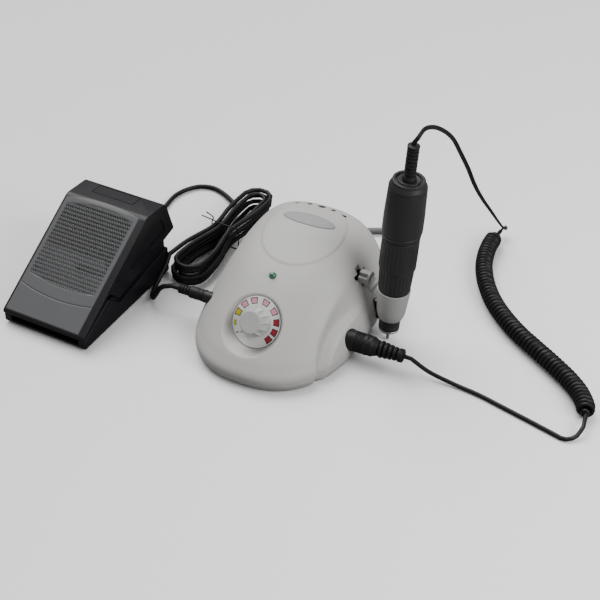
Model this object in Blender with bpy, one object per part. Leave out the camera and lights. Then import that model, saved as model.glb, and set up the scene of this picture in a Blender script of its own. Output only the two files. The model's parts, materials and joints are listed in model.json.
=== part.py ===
"""Portable micromotor: control box, motor handpiece in its side cradle, foot pedal and cords.

Metres, +Z up. The control box faces -Y, with its cradle on the +X side and the pedal on the
-X side. All pieces hang from one empty, which brings the middle of the hard pieces to the origin.
"""
import math

import bmesh
import bpy
import numpy as np
from mathutils import Matrix, Vector

# General
GAP = 0.0003
OVERRUN = 0.004
MERGE = 0.000001
FINE_BEVEL = 0.0005
STEPS_BIG, STEPS, STEPS_SMALL, STEPS_INNER = 22, 16, 10, 8

# Control box body
BOX_W, BOX_D, BOX_H = 0.122, 0.157, 0.0745
FRONT_SHARE = 0.52229
BOX_FRONT_Y = -BOX_D * FRONT_SHARE
WALL = 0.0024
BODY_POINTS, HOLLOW_POINTS = 40, 20
TRAY_Z0, TRAY_Z1 = 0.0018, 0.0080
TRAY_FLOOR = 0.0024
# height share: half width, front, back, widest place, all as shares; then corner powers front and back
BODY_SHARES = (
    (0.00, 0.955, 0.020, 0.975, 0.52, 2.50, 5.0),
    (0.07, 0.990, 0.003, 0.985, 0.52, 2.50, 5.0),
    (0.15, 1.000, 0.000, 0.990, 0.53, 2.50, 5.0),
    (0.25, 0.985, 0.036, 0.992, 0.56, 2.42, 4.9),
    (0.37, 0.942, 0.100, 0.989, 0.595, 2.38, 4.5),
    (0.50, 0.888, 0.178, 0.984, 0.63, 2.34, 4.2),
    (0.63, 0.826, 0.265, 0.977, 0.67, 2.30, 3.8),
    (0.75, 0.758, 0.355, 0.966, 0.70, 2.26, 3.3),
    (0.85, 0.668, 0.450, 0.948, 0.73, 2.20, 2.9),
    (0.93, 0.540, 0.560, 0.914, 0.755, 2.12, 2.6),
    (0.98, 0.370, 0.652, 0.865, 0.77, 2.05, 2.3),
    (1.00, 0.180, 0.730, 0.810, 0.77, 2.00, 2.0),
)
# Soft valley that sweeps up the right side to the cradle
VALLEY_DEPTH, VALLEY_LOW_SHARE, VALLEY_HIGH_SHARE = 0.0045, 0.1656, 0.6242
VALLEY_LOW_Y, VALLEY_HIGH_Y = BOX_FRONT_Y + BOX_D * VALLEY_LOW_SHARE, BOX_FRONT_Y + BOX_D * VALLEY_HIGH_SHARE
VALLEY_LOW_REACH, VALLEY_HIGH_REACH = 0.0085, 0.0160
VALLEY_TOP_SHARE = 0.93
# Badge
BADGE_Y_SHARE, BADGE_HALF_X, BADGE_HALF_Y = 0.7420, 0.0210, 0.0062
BADGE_Y = BOX_FRONT_Y + BOX_D * BADGE_Y_SHARE
BADGE_SINK, BADGE_RISE = 0.0006, 0.0004
# Vent row
VENT_COUNT, VENT_PITCH, VENT_Y_SHARE, VENT_R, VENT_MID_R, VENT_SAG = 5, 0.0098, 0.9045, 0.0010, 0.0013, 0.0022
VENT_Y = BOX_FRONT_Y + BOX_D * VENT_Y_SHARE
VENT_FLOOR_SHARE = 0.86
RIB_LAND_SHARE = 0.45
# Lamp
LAMP_X, LAMP_Y_SHARE, LAMP_R, LAMP_LIP, LAMP_LENGTH = -0.003, 0.3854, 0.0025, 0.0008, 0.0090
LAMP_Y = BOX_FRONT_Y + BOX_D * LAMP_Y_SHARE
LAMP_ELEVATION = math.radians(66)
LAMP_PROUD = 0.0016
# Speed dial: well, printed plate, knob and its potentiometer
DIAL_X, DIAL_Y_SHARE, DIAL_Z_SHARE = -0.0035, 0.2229, 0.4497
DIAL_Y, DIAL_Z = BOX_FRONT_Y + BOX_D * DIAL_Y_SHARE, BOX_H * DIAL_Z_SHARE
DIAL_ELEVATION = math.radians(35)
PLATE_R, PLATE_T, PLATE_HOLE_R = 0.01885, 0.0012, 0.0046
WELL_FLOOR_R, WELL_RIM_R, WELL_RIM_UP, WELL_WALL = 0.0194, 0.0240, 0.0100, 0.0022
KNOB_SKIRT_R, KNOB_TOP_R, KNOB_H, KNOB_LIFT = 0.0110, 0.0086, 0.0110, 0.0006
KNOB_FLUTES, KNOB_FLUTE_DEPTH, KNOB_POINTS_PER_FLUTE, KNOB_DISH = 12, 0.0013, 4, 0.0005
KNOB_BORE_DEPTH, KNOB_MARK_W, KNOB_MARK_D, KNOB_ROUND = 0.0080, 0.0011, 0.0008, 0.0010
KNOB_REST = math.radians(-140)
POT_SHAFT_R, POT_BUSH_R, POT_BUSH_H, POT_BODY_R, POT_BODY_H = 0.0030, 0.0041, 0.0036, 0.0080, 0.0075
SHAFT_TAIL = 0.0030
# Feet
FOOT_R, FOOT_H, FOOT_X_SHARE, FOOT_FRONT_SHARE, FOOT_BACK_SHARE = 0.0060, 0.0026, 0.3279, 0.2166, 0.8917
FOOT_X, FOOT_FRONT_Y, FOOT_BACK_Y = BOX_W * FOOT_X_SHARE, BOX_FRONT_Y + BOX_D * FOOT_FRONT_SHARE, BOX_FRONT_Y + BOX_D * FOOT_BACK_SHARE
FOOT_DEEP = 0.0011
# Right side: motor socket and mains switch
SOCKET_Y_SHARE, SOCKET_Z, SOCKET_R, SOCKET_BODY_R, SOCKET_FACE_SHARE = 0.4140, 0.0175, 0.0092, 0.0072, 0.4525
SOCKET_Y, SOCKET_FACE_X = BOX_FRONT_Y + BOX_D * SOCKET_Y_SHARE, BOX_W * SOCKET_FACE_SHARE
SOCKET_LIP, SOCKET_DEPTH, SOCKET_PLUG_BORE_R, SOCKET_PLUG_DEEP = 0.0016, 0.0120, 0.0062, 0.0085
SWITCH_Y_SHARE, SWITCH_Z, SWITCH_LONG, SWITCH_TALL, SWITCH_FACE_SHARE = 0.7516, 0.0180, 0.0230, 0.0155, 0.4820
SWITCH_Y, SWITCH_FACE_X = BOX_FRONT_Y + BOX_D * SWITCH_Y_SHARE, BOX_W * SWITCH_FACE_SHARE
SWITCH_LIP, SWITCH_DEEP, SWITCH_EDGE = 0.0030, 0.0120, 0.0016
ROCKER_PROUD, ROCKER_TILT, ROCKER_ROUND_R = 0.0020, math.radians(8), 0.0060
# Left side: pedal socket
JACK_Y_SHARE, JACK_Z, JACK_R, JACK_FACE_SHARE, JACK_LIP, JACK_DEPTH, JACK_BORE_R = 0.3312, 0.0270, 0.0060, 0.4590, 0.0014, 0.0100, 0.0034
JACK_Y, JACK_FACE_X = BOX_FRONT_Y + BOX_D * JACK_Y_SHARE, BOX_W * JACK_FACE_SHARE
# Back: mains gland
GLAND_X_SHARE, GLAND_Z, GLAND_R, GLAND_FLANGE_R, GLAND_OUT, GLAND_IN = 0.3607, 0.0130, 0.0048, 0.0070, 0.0200, 0.0060
GLAND_X = BOX_W * GLAND_X_SHARE
GLAND_FLANGE, GLAND_RIBS, GLAND_GROOVE = 0.0018, 4, 0.0011
# Inside the box
BOARD_W, BOARD_D, BOARD_T, BOARD_Y_SHARE = 0.0620, 0.0560, 0.0016, 0.4459
BOARD_Y = BOX_FRONT_Y + BOX_D * BOARD_Y_SHARE
POST_R = 0.0030
CORE_W, CORE_D, CORE_H_SHARE, CORE_X, CORE_Y_SHARE = 0.0480, 0.0160, 0.5370, -0.0140, 0.8089
CORE_H, CORE_Y = BOX_H * CORE_H_SHARE, BOX_FRONT_Y + BOX_D * CORE_Y_SHARE
COIL_W, COIL_D, COIL_H = 0.0200, 0.0300, 0.0240
SINK_W, SINK_D, SINK_H, SINK_Y_SHARE, SINK_FINS, SINK_FIN_T = 0.0420, 0.0120, 0.0220, 0.5732, 6, 0.0016
SINK_Y = BOX_FRONT_Y + BOX_D * SINK_Y_SHARE

# Cross peg of the cradle in the side of the box
PEG_SHARES = (0.4344, 0.6369, 0.6577)
PEG_X, PEG_Y, PEG_Z = BOX_W * PEG_SHARES[0], BOX_FRONT_Y + BOX_D * PEG_SHARES[1], BOX_H * PEG_SHARES[2]

# Handpiece: heights along its own axis from the tip of the pin, which stands off from the peg
TIP_OUT, TIP_FORWARD, TIP_Z = 0.0210, 0.0036, 0.0030
TIP = Vector((PEG_X + TIP_OUT, PEG_Y - TIP_FORWARD, TIP_Z))
LEAN_RIGHT, LEAN_BACK = math.radians(3.63), math.radians(-1.25)
PIN_R, PIN_TOP = 0.001175, 0.0400
NOSE_LOW, NOSE_LOW_R, NOSE_STEP, NOSE_STEP_R, NOSE_HIGH, NOSE_HIGH_R, NOSE_BORE_R = 0.0066, 0.0021, 0.0074, 0.0066, 0.0098, 0.0074, 0.0016
NOSE_SPIGOT_R, NOSE_SPIGOT_TOP, NOSE_EDGE = 0.0056, 0.0178, 0.0004
RING_LOW, RING_HIGH, RING_R, RING_CHAMFER, RING_BORE_R = 0.0101, 0.0196, 0.00785, 0.0005, 0.0059
GRIP_LOW, GRIP_LOW_R, GRIP_MID, GRIP_MID_R, GRIP_SEAT, GRIP_SEAT_R = 0.0199, 0.0072, 0.0245, 0.0088, 0.0464, 0.0106
GRIP_R, GRIP_TOP_R, GRIP_TOP, GRIP_ROUND, GRIP_BORE_R = 0.0118, 0.0128, 0.0664, 0.0010, 0.0050
SLEEVE_R, SLEEVE_TOP, SLEEVE_BORE_R = 0.0108, 0.0934, 0.0095
LOCK_LOW, LOCK_HIGH, LOCK_R, LOCK_BORE_R, LOCK_FLUTES, LOCK_FLUTE_DEPTH = 0.0668, 0.0934, 0.0135, 0.0112, 12, 0.0005
LOCK_EDGE = 0.0012
BODY_LOW, BODY_LOW_R, BODY_WIDE, BODY_WIDE_R, BODY_HIGH, BODY_HIGH_R = 0.0938, 0.0137, 0.0995, 0.01455, 0.1345, 0.0137
BODY_BORE_R, BODY_FLOOR = 0.0126, 0.0026
CAP_LOW, CAP_HIGH, CAP_R, CAP_TOP_R, CAP_GROOVE_R, CAP_INNER_R = 0.1348, 0.1412, 0.0137, 0.0117, 0.0094, 0.0080
CAP_GROOVE, CAP_CHAMFER, CAP_SPIGOT_R, CAP_SPIGOT = 0.0012, 0.0016, 0.0122, 0.0020
RELIEF_R, RELIEF_CORE_R, RELIEF_LENGTH, RELIEF_FLANGE_R, RELIEF_RIBS = 0.0043, 0.0032, 0.0276, 0.0049, 8
RELIEF_TOP = CAP_HIGH + RELIEF_LENGTH
RELIEF_FLANGE = 0.0020
MAGNET_R, MAGNET_BORE_R, MAGNET_LOW, MAGNET_HIGH = 0.0122, 0.0098, 0.0968, 0.1250
ROTOR_R, ROTOR_LOW, ROTOR_HIGH, ROTOR_SLOTS, ROTOR_SLOT_DEPTH = 0.0094, 0.1000, 0.1200, 7, 0.0026
COMM_R, COMM_LOW, COMM_HIGH = 0.0042, 0.1206, 0.1262
SHAFT_R, SHAFT_LOW, SHAFT_HIGH = 0.0024, 0.0566, 0.1310
HOLDER_LOW, HOLDER_HIGH, HOLDER_R, BRUSH_W, BRUSH_T = 0.1270, 0.1322, 0.0122, 0.0044, 0.0036
BEARING_R, BEARING_H, BEARING_LOW = 0.0046, 0.0040, 0.0215
SPINDLE_R, SPINDLE_BORE_R, SPINDLE_LOW, SPINDLE_HIGH = 0.0032, 0.0021, 0.0182, 0.0560
COLLET_R, COLLET_BORE_R, COLLET_LOW, COLLET_HIGH, COLLET_SLOT = 0.0017, 0.0015, 0.0190, 0.0360, 0.0006

# Cradle: cup round the handpiece, arm and cross peg
CUP_WALL, CUP_CLEAR, CUP_LOW, CUP_RING_CLEAR, CUP_LIP = 0.0013, 0.0005, 0.0200, 0.0004, 0.0008
ARM_HEIGHT, ARM_CUP_R, ARM_PEG_R, ARM_SHARES = 0.0340, 0.0054, 0.0040, (0.22, 0.40)
COLLAR_R, COLLAR_T, COLLAR_OUT = 0.0054, 0.0020, 0.0022
CROSS_LONG, CROSS_PEG_LONG, CROSS_T, CROSS_IN, CROSS_CLEAR = 0.0108, 0.0084, 0.0030, 0.0060, 0.0004

# Foot pedal, in its own corner frame: X to the right, Y back from the front right corner
PEDAL_SPACE, PEDAL_Y, PEDAL_TURN = 0.0587, -0.1016, math.radians(-2.3)
PEDAL_X = -BOX_W / 2 - PEDAL_SPACE
PEDAL_W, PEDAL_L = 0.0740, 0.1170
LIP_Z, CREST_Y, CREST_Z, REAR_Y, REAR_Z = 0.0130, 0.0920, 0.0660, 0.1180, 0.0640
SKIRT_Y, SKIRT_Z, SKIRT_FRONT_Y, SKIRT_FRONT_Z, SKIRT_TOP_Y = 0.1270, 0.0360, 0.0500, 0.0190, 0.0380
LIP_Y, PEDAL_PLATE, PEDAL_WALL, PEDAL_SLIP, PEDAL_BEVEL = 0.0020, 0.0036, 0.0026, 0.0008, 0.0012
BASE_Z0, BASE_FRONT_Z, BASE_MID_Y, BASE_MID_Z, BASE_REAR_Z = 0.0016, 0.0090, 0.0360, 0.0190, 0.0420
BASE_STEP_Y, BASE_STEP_Z, BASE_GAP = 0.0470, 0.0150, 0.0012
HINGE_Y, HINGE_Z, HINGE_R, HINGE_PIN_R, HINGE_PIN_REACH = 0.0100, 0.0096, 0.0050, 0.0012, 0.0030
CHEEK = 0.0060
PAD_START, PAD_END, PAD_SIDE, PAD_T, PAD_SINK, PAD_CORNER = 0.0180, 0.0940, 0.0060, 0.0016, 0.0010, 0.0080
SPRING_Y, SPRING_R, SPRING_WIRE_R, SPRING_TURNS, SPRING_TOP = 0.0800, 0.0055, 0.0006, 4, 0.0320
SPRING_POINTS, SPRING_BOSS_R = 8, 0.0062
PEDAL_FOOT_L, PEDAL_FOOT_D, PEDAL_FOOT_H, PEDAL_FOOT_DEEP = 0.0560, 0.0080, 0.0024, 0.0011
PEDAL_FOOT_FRONT_Y, PEDAL_FOOT_REAR_Y = 0.0120, 0.1020
EXIT_X, EXIT_Z, EXIT_R, EXIT_OUT, EXIT_HOLE_R, EXIT_FLANGE_R, EXIT_FLANGE, EXIT_RIBS = -0.0330, 0.0130, 0.0034, 0.0140, 0.0037, 0.0050, 0.0014, 4
EXIT_GROOVE, EXIT_TAIL = 0.0007, 0.0050

# Cords and plugs
MOTOR_CORD_R, PEDAL_CORD_R, MAINS_CORD_R, CORD_SPACING = 0.0016, 0.0019, 0.0027, 4.4
CURL_R, CURLS, CURL_POINTS = 0.0054, 36, 8
DIN_R, DIN_L, DIN_RELIEF_L, DIN_RELIEF_R0, DIN_RELIEF_R1, DIN_RIBS = 0.0078, 0.0250, 0.0200, 0.0060, 0.0040, 5
DIN_GROOVE, DIN_NOSE_R, DIN_NOSE_L, DIN_RIB_DEPTH = 0.0006, 0.0058, 0.0070, 0.0012
DIN_TURN = math.radians(-3.0)
JACKPLUG_R, JACKPLUG_L, JACKPLUG_RELIEF_L, JACKPLUG_RELIEF_R, JACKPLUG_RIBS, JACKPLUG_TIP_R, JACKPLUG_TIP_L = 0.0046, 0.0120, 0.0100, 0.0038, 4, 0.0030, 0.0080
JACKPLUG_RIB_DEPTH = 0.0009
HANK_X, HANK_Y, HANK_TURN, HANK_STRAIGHT, HANK_LAYER = -0.0922, 0.0652, math.radians(85.9), 0.0489, 0.0048
HANK_REAR_ROUND, HANK_FRONT_ROUND, HANK_WAIST, HANK_WAIST_REACH = 0.0064, 0.0083, 0.0024, 0.0220
HANK_REAR_STEP, HANK_FRONT_STEP, HANK_WAIST_STEP = 0.0050, 0.0057, 0.0046
HANK_LAYERS, HANK_TURNS_PER_LAYER, HANK_Z0, HANK_POINTS = 4, 1.25, 0.0036, 24
HANK_START_SHARE, HANK_TURN_EXTRA = 0.10, 0.25
TIE_R, TIE_CLEAR, TIE_END, TIE_SPLIT, TIE_CORNER = 0.0005, 0.0006, 0.0090, 0.0009, 0.0018
MAINS_X, MAINS_SPACE, MAINS_TURN, MAINS_START_SHARE = -0.0410, 0.0315, 0.0, 0.1178
MAINS_Y = BOX_FRONT_Y + BOX_D + MAINS_SPACE
MAINS_STRAIGHT, MAINS_ROUND, MAINS_STEP, MAINS_LAYER, MAINS_Z0 = 0.0070, 0.0107, 0.0060, 0.0060, 0.0030
MAINS_LAYERS, MAINS_TURNS_PER_LAYER, MAINS_POINTS = 2, 1.25, 24
PLUG_L, PLUG_W, PLUG_T, PLUG_NECK_R, PLUG_PIN_R, PLUG_PIN_L, PLUG_PIN_X = 0.0260, 0.0235, 0.0128, 0.0045, 0.0020, 0.0190, 0.0093
""" Cord routes, in box coordinates, chosen along the photographed cords """
UPPER_ROUTE = ((0.0868, 0.0200, 0.1765), (0.0876, 0.0270, 0.1790), (0.0890, 0.0400, 0.1745), (0.0915, 0.0568, 0.1629),
               (0.0937, 0.0707, 0.1493), (0.0956, 0.0826, 0.1323), (0.0978, 0.0971, 0.1105), (0.0997, 0.1089, 0.0905),
               (0.1018, 0.1224, 0.0712), (0.1045, 0.1399, 0.0492), (0.1072, 0.1580, 0.0270), (0.1078, 0.1690, 0.0140),
               (0.1068, 0.1770, 0.0085))
COIL_ROUTE = ((0.1045, 0.1742, 0.0073), (0.1032, 0.1534, 0.0073), (0.1075, 0.1284, 0.0073), (0.1160, 0.1079, 0.0073),
              (0.1297, 0.0866, 0.0073), (0.1444, 0.0708, 0.0073), (0.1613, 0.0567, 0.0073), (0.1785, 0.0454, 0.0073),
              (0.1955, 0.0345, 0.0073), (0.2126, 0.0223, 0.0073), (0.2245, 0.0105, 0.0073), (0.2323, -0.0029, 0.0073),
              (0.2345, -0.0140, 0.0073))
LOWER_ROUTE = ((0.2330, -0.0260, 0.0030), (0.2270, -0.0310, 0.0020), (0.2163, -0.0290, 0.0020), (0.2000, -0.0250, 0.0020),
               (0.1792, -0.0200, 0.0020), (0.1577, -0.0150, 0.0020), (0.1364, -0.0130, 0.0030), (0.1180, -0.0140, 0.0080))
PEDAL_ROUTE = ((-0.1545, 0.0480, 0.0090), (-0.1590, 0.0700, 0.0040), (-0.1630, 0.0930, 0.0024), (-0.1632, 0.1070, 0.0024),
               (-0.1590, 0.1190, 0.0024), (-0.1510, 0.1280, 0.0024), (-0.1400, 0.1310, 0.0024), (-0.1290, 0.1275, 0.0028),
               (-0.1190, 0.1215, 0.0034), (-0.1090, 0.1135, 0.0036))
JACK_ROUTE = ((-0.0930, -0.0310, 0.0235), (-0.0990, -0.0300, 0.0145), (-0.1050, -0.0260, 0.0055), (-0.1100, -0.0190, 0.0026),
              (-0.1125, -0.0100, 0.0035), (-0.1130, -0.0010, 0.0075), (-0.1126, 0.0075, 0.0130))
MAINS_ROUTE = ((0.0430, 0.1120, 0.0090), (0.0360, 0.1300, 0.0045), (0.0260, 0.1385, 0.0034), (0.0165, 0.1366, 0.0034),
               (0.0010, 0.1295, 0.0034), (-0.0140, 0.1260, 0.0060), (-0.0280, 0.1247, 0.0092))
MAINS_TAIL = ((-0.0270, 0.0883, 0.0036), (-0.0190, 0.0883, 0.0058), (-0.0135, 0.0883, 0.0067))

# Colours
WARM_WHITE, BLACK, SOFT_BLACK, GREY_PAD = (0.56, 0.55, 0.53), (0.018, 0.018, 0.020), (0.028, 0.028, 0.031), (0.105, 0.108, 0.118)
CUP_GREY, KNOB_GREY, BADGE_GREY, LAMP_GREEN, CORD_GREY = (0.50, 0.50, 0.49), (0.55, 0.55, 0.54), (0.30, 0.30, 0.30), (0.01, 0.10, 0.04), (0.16, 0.16, 0.16)
STEEL, COPPER, BRASS, BOARD_GREEN, MAGNET_GREY = (0.60, 0.60, 0.60), (0.60, 0.25, 0.10), (0.65, 0.48, 0.18), (0.02, 0.13, 0.05), (0.10, 0.10, 0.11)


def material(name, colour, roughness, metallic=0.0):
    found = bpy.data.materials.get(name)
    if found:
        return found
    made = bpy.data.materials.new(name)
    made.use_nodes = True
    shader = made.node_tree.nodes["Principled BSDF"]
    shader.inputs["Base Color"].default_value = (*colour, 1.0)
    shader.inputs["Roughness"].default_value = roughness
    shader.inputs["Metallic"].default_value = metallic
    made.diffuse_color = (*colour, 1.0)
    return made


def place(name, data, look=None, parent=None, at=(0, 0, 0), turn=(0, 0, 0)):
    made = bpy.data.objects.new(name, data)
    bpy.context.scene.collection.objects.link(made)
    made.location, made.rotation_euler, made.parent = at, turn, parent
    if look and data:
        data.materials.append(look)
    return made


def solid(name, bm, look=None, parent=None, at=(0, 0, 0), turn=(0, 0, 0)):
    bmesh.ops.recalc_face_normals(bm, faces=bm.faces)
    mesh = bpy.data.meshes.new(name)
    bm.to_mesh(mesh)
    bm.free()
    mesh.shade_smooth()
    mesh.set_sharp_from_angle(angle=math.radians(32))
    return place(name, mesh, look, parent, at, turn)


def boolean(target, tool, operation="DIFFERENCE"):
    cut = target.modifiers.new(operation.title(), "BOOLEAN")
    cut.operation, cut.object, cut.solver = operation, tool, "EXACT"
    tool.hide_render, tool.display_type = True, "WIRE"
    return target


def boolean_all(target, tools, name):
    """Cuts with a whole set of helpers in one pass."""
    group = bpy.data.collections.new(name)
    for tool in tools:
        group.objects.link(tool)
        tool.hide_render, tool.display_type = True, "WIRE"
    cut = target.modifiers.new(name.replace("_", " ").title(), "BOOLEAN")
    cut.operation, cut.operand_type, cut.collection, cut.solver = "DIFFERENCE", "COLLECTION", group, "EXACT"
    return target


def turned(profile, steps=STEPS):
    """Solid of revolution round Z. A profile that leaves the axis alone closes into a ring."""
    bm = bmesh.new()
    verts = [bm.verts.new((r, 0, z)) for r, z in profile]
    edges = [bm.edges.new(pair) for pair in zip(verts, verts[1:])]
    if min(r for r, z in profile) > 0:
        edges.append(bm.edges.new((verts[-1], verts[0])))
    bmesh.ops.spin(bm, geom=verts + edges, cent=(0, 0, 0), axis=(0, 0, 1), angle=math.tau, steps=steps, use_merge=True)
    bmesh.ops.remove_doubles(bm, verts=bm.verts, dist=MERGE)
    return bm


def rod(r, low, high, steps=STEPS, chamfer=0.0):
    if chamfer:
        return turned([(0, low), (r - chamfer, low), (r, low + chamfer), (r, high - chamfer), (r - chamfer, high), (0, high)], steps)
    return turned([(0, low), (r, low), (r, high), (0, high)], steps)


def tube_ring(r, bore, low, high, steps=STEPS, chamfer=0.0):
    if chamfer:
        return turned([(bore, low), (r - chamfer, low), (r, low + chamfer), (r, high - chamfer), (r - chamfer, high), (bore, high)], steps)
    return turned([(bore, low), (r, low), (r, high), (bore, high)], steps)


def lofted(rings):
    bm = bmesh.new()
    rows = [[bm.verts.new(p) for p in ring] for ring in rings]
    count = len(rows[0])
    for low, high in zip(rows, rows[1:]):
        for i in range(count):
            bm.faces.new((low[i], low[(i + 1) % count], high[(i + 1) % count], high[i]))
    bm.faces.new(rows[0][::-1])
    bm.faces.new(rows[-1])
    return bm


def prism(outline, low, high, to_space):
    """Outline in a plane, extruded from low to high; to_space turns (u, v, w) into a point."""
    bm = bmesh.new()
    face = bm.faces.new([bm.verts.new(to_space(u, v, low)) for u, v in outline])
    grown = bmesh.ops.extrude_face_region(bm, geom=[face])
    step = Vector(to_space(0, 0, high)) - Vector(to_space(0, 0, low))
    bmesh.ops.translate(bm, vec=step, verts=[g for g in grown["geom"] if isinstance(g, bmesh.types.BMVert)])
    return bm


def block(size, centre):
    bm = bmesh.new()
    bmesh.ops.create_cube(bm, size=1.0, matrix=Matrix.Translation(centre) @ Matrix.Diagonal((*size, 1.0)))
    return bm


def rounded(obj, width, segments=2, angle=math.radians(40)):
    bevel = obj.modifiers.new("Rounding", "BEVEL")
    bevel.width, bevel.segments, bevel.limit_method, bevel.angle_limit = width, segments, "ANGLE", angle
    return obj


def ribbed(r0, r1, depth, start, end, ribs):
    """Profile of a ribbed sleeve, from start to end, whose ribs stand depth above its core."""
    points, pitch = [], (end - start) / ribs
    for i in range(ribs):
        r = r0 + (r1 - r0) * i / max(1, ribs - 1)
        z = start + i * pitch
        points += [(r, z + pitch * RIB_LAND_SHARE), (r - depth, z + pitch)]
    return points


def smooth_line(points, spacing):
    """Points at an even spacing along a smooth curve through the route."""
    p = np.array(points, float)
    chord = np.concatenate([[0], np.cumsum(np.linalg.norm(np.diff(p, axis=0), axis=1) ** 0.5)])
    slopes = np.gradient(p, chord, axis=0)
    fine = []
    for i in range(len(p) - 1):
        h = chord[i + 1] - chord[i]
        for s in np.linspace(0, 1, 24, endpoint=False):
            a, b = 2 * s**3 - 3 * s**2 + 1, s**3 - 2 * s**2 + s
            c, d = 3 * s**2 - 2 * s**3, s**3 - s**2
            fine.append(a * p[i] + b * h * slopes[i] + c * p[i + 1] + d * h * slopes[i + 1])
    fine = np.array(fine + [p[-1]])
    run = np.concatenate([[0], np.cumsum(np.linalg.norm(np.diff(fine, axis=0), axis=1))])
    count = max(4, int(round(run[-1] / spacing)) + 1)
    even = np.linspace(0, run[-1], count)
    return np.stack([np.interp(even, run, fine[:, k]) for k in range(3)], -1)


def cord(name, points, radius, look, parent, resolution=1):
    line = bpy.data.curves.new(name, "CURVE")
    line.dimensions, line.bevel_depth, line.bevel_resolution, line.use_fill_caps = "3D", radius, resolution, True
    spline = line.splines.new("POLY")
    spline.points.add(len(points) - 1)
    for point, at in zip(spline.points, points):
        point.co = (*at, 1.0)
    return place(name, line, look, parent)


def least_gap(name, points, radius, skip):
    """Least clear gap of a wound tube to itself, from points that are at least skip apart along it."""
    p = np.array(points)
    fine = np.concatenate([p[:-1] + (p[1:] - p[:-1]) * s for s in (0, 0.25, 0.5, 0.75)])
    order = np.argsort(np.concatenate([np.arange(len(p) - 1) + s for s in (0, 0.25, 0.5, 0.75)]))
    fine = fine[order]
    run = np.concatenate([[0], np.cumsum(np.linalg.norm(np.diff(fine, axis=0), axis=1))])
    best = 1.0
    for i in range(len(fine)):
        far = run > run[i] + skip
        if far.any():
            best = min(best, np.linalg.norm(fine[far] - fine[i], axis=1).min())
    print(name, "least gap to itself", round((best - 2 * radius) * 1000, 2), "mm, length", round(run[-1] * 1000), "mm")


# Shape of the control box
def body_values(share):
    table = np.array(BODY_SHARES)
    return [float(np.interp(share, table[:, 0], table[:, k])) for k in range(1, 7)]


def valley_depth(y, z):
    share = min(1.0, z / (BOX_H * VALLEY_TOP_SHARE))
    line = VALLEY_LOW_Y + (VALLEY_HIGH_Y - VALLEY_LOW_Y) * share
    reach = VALLEY_LOW_REACH + (VALLEY_HIGH_REACH - VALLEY_LOW_REACH) * share
    return VALLEY_DEPTH * math.exp(-((y - line) / reach) ** 2)


def body_ring(z, inset=0.0, count=BODY_POINTS):
    """Outline of the body at height z: two half super-ellipses that meet at the widest place."""
    half, front, back, mid, power_front, power_back = body_values(z / BOX_H)
    half = half * BOX_W / 2 - inset
    y_front = BOX_FRONT_Y + front * BOX_D + inset
    y_back = BOX_FRONT_Y + back * BOX_D - inset
    y_mid = BOX_FRONT_Y + mid * BOX_D
    ring = []
    for i in range(count):
        t = math.tau * i / count
        c, s = math.cos(t), math.sin(t)
        power = power_front if s < 0 else power_back
        x = half * math.copysign(abs(c) ** (2 / power), c)
        y = y_mid + ((y_mid - y_front) if s < 0 else (y_back - y_mid)) * math.copysign(abs(s) ** (2 / power), s)
        if x > 0:
            x -= valley_depth(y, z) * min(1.0, x / (half * 0.6)) ** 2
        ring.append((x, y, z))
    return ring


def body_loft(low, high, inset=0.0, top_inset=0.0, levels=None, count=BODY_POINTS):
    shares = sorted(levels or [row[0] for row in BODY_SHARES])
    heights = [low] + [s * BOX_H for s in shares if low + GAP < s * BOX_H < high - GAP] + [high]
    return lofted([[(x, y, z - top_inset * z / BOX_H) for x, y, z in body_ring(z, inset, count)] for z in heights])


def surface_height(x, y):
    """Height of the outer surface above a plan point, by halving on the rings' super-ellipse."""
    low, high = 0.0, BOX_H
    for step in range(24):
        z = (low + high) / 2
        half, front, back, mid, power_front, power_back = body_values(z / BOX_H)
        y_mid = BOX_FRONT_Y + mid * BOX_D
        reach = (y_mid - BOX_FRONT_Y - front * BOX_D) if y < y_mid else (BOX_FRONT_Y + back * BOX_D - y_mid)
        power = power_front if y < y_mid else power_back
        wide = abs(x) + (valley_depth(y, z) if x > 0 else 0)
        inside = (wide / (half * BOX_W / 2)) ** power + (abs(y - y_mid) / reach) ** power <= 1
        low, high = (z, high) if inside else (low, z)
    return low


def dome_disc(cx, cy, rx, ry, low, high, count=20, rows=2):
    """Elliptical slice that follows the domed top, from low to high above its surface."""
    bm = bmesh.new()
    layers = []
    for lift in (low, high):
        layer = [[bm.verts.new((x, y, surface_height(x, y) + lift)) for x, y in ellipse(cx, cy, rx * k / rows, ry * k / rows, count)] for k in range(rows, 0, -1)]
        layers.append((layer, bm.verts.new((cx, cy, surface_height(cx, cy) + lift))))
    for layer, peak in layers:
        for outer, inner in zip(layer, layer[1:]):
            for i in range(count):
                bm.faces.new((outer[i], outer[(i + 1) % count], inner[(i + 1) % count], inner[i]))
        for i in range(count):
            bm.faces.new((layer[-1][i], layer[-1][(i + 1) % count], peak))
    bottom, upper = layers[0][0][0], layers[1][0][0]
    for i in range(count):
        bm.faces.new((bottom[i], bottom[(i + 1) % count], upper[(i + 1) % count], upper[i]))
    return bm


def ellipse(cx, cy, rx, ry, count):
    return [(cx + rx * math.cos(math.tau * i / count), cy + ry * math.sin(math.tau * i / count)) for i in range(count)]


def upright(u, v, w):
    return (u, v, w)


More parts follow.
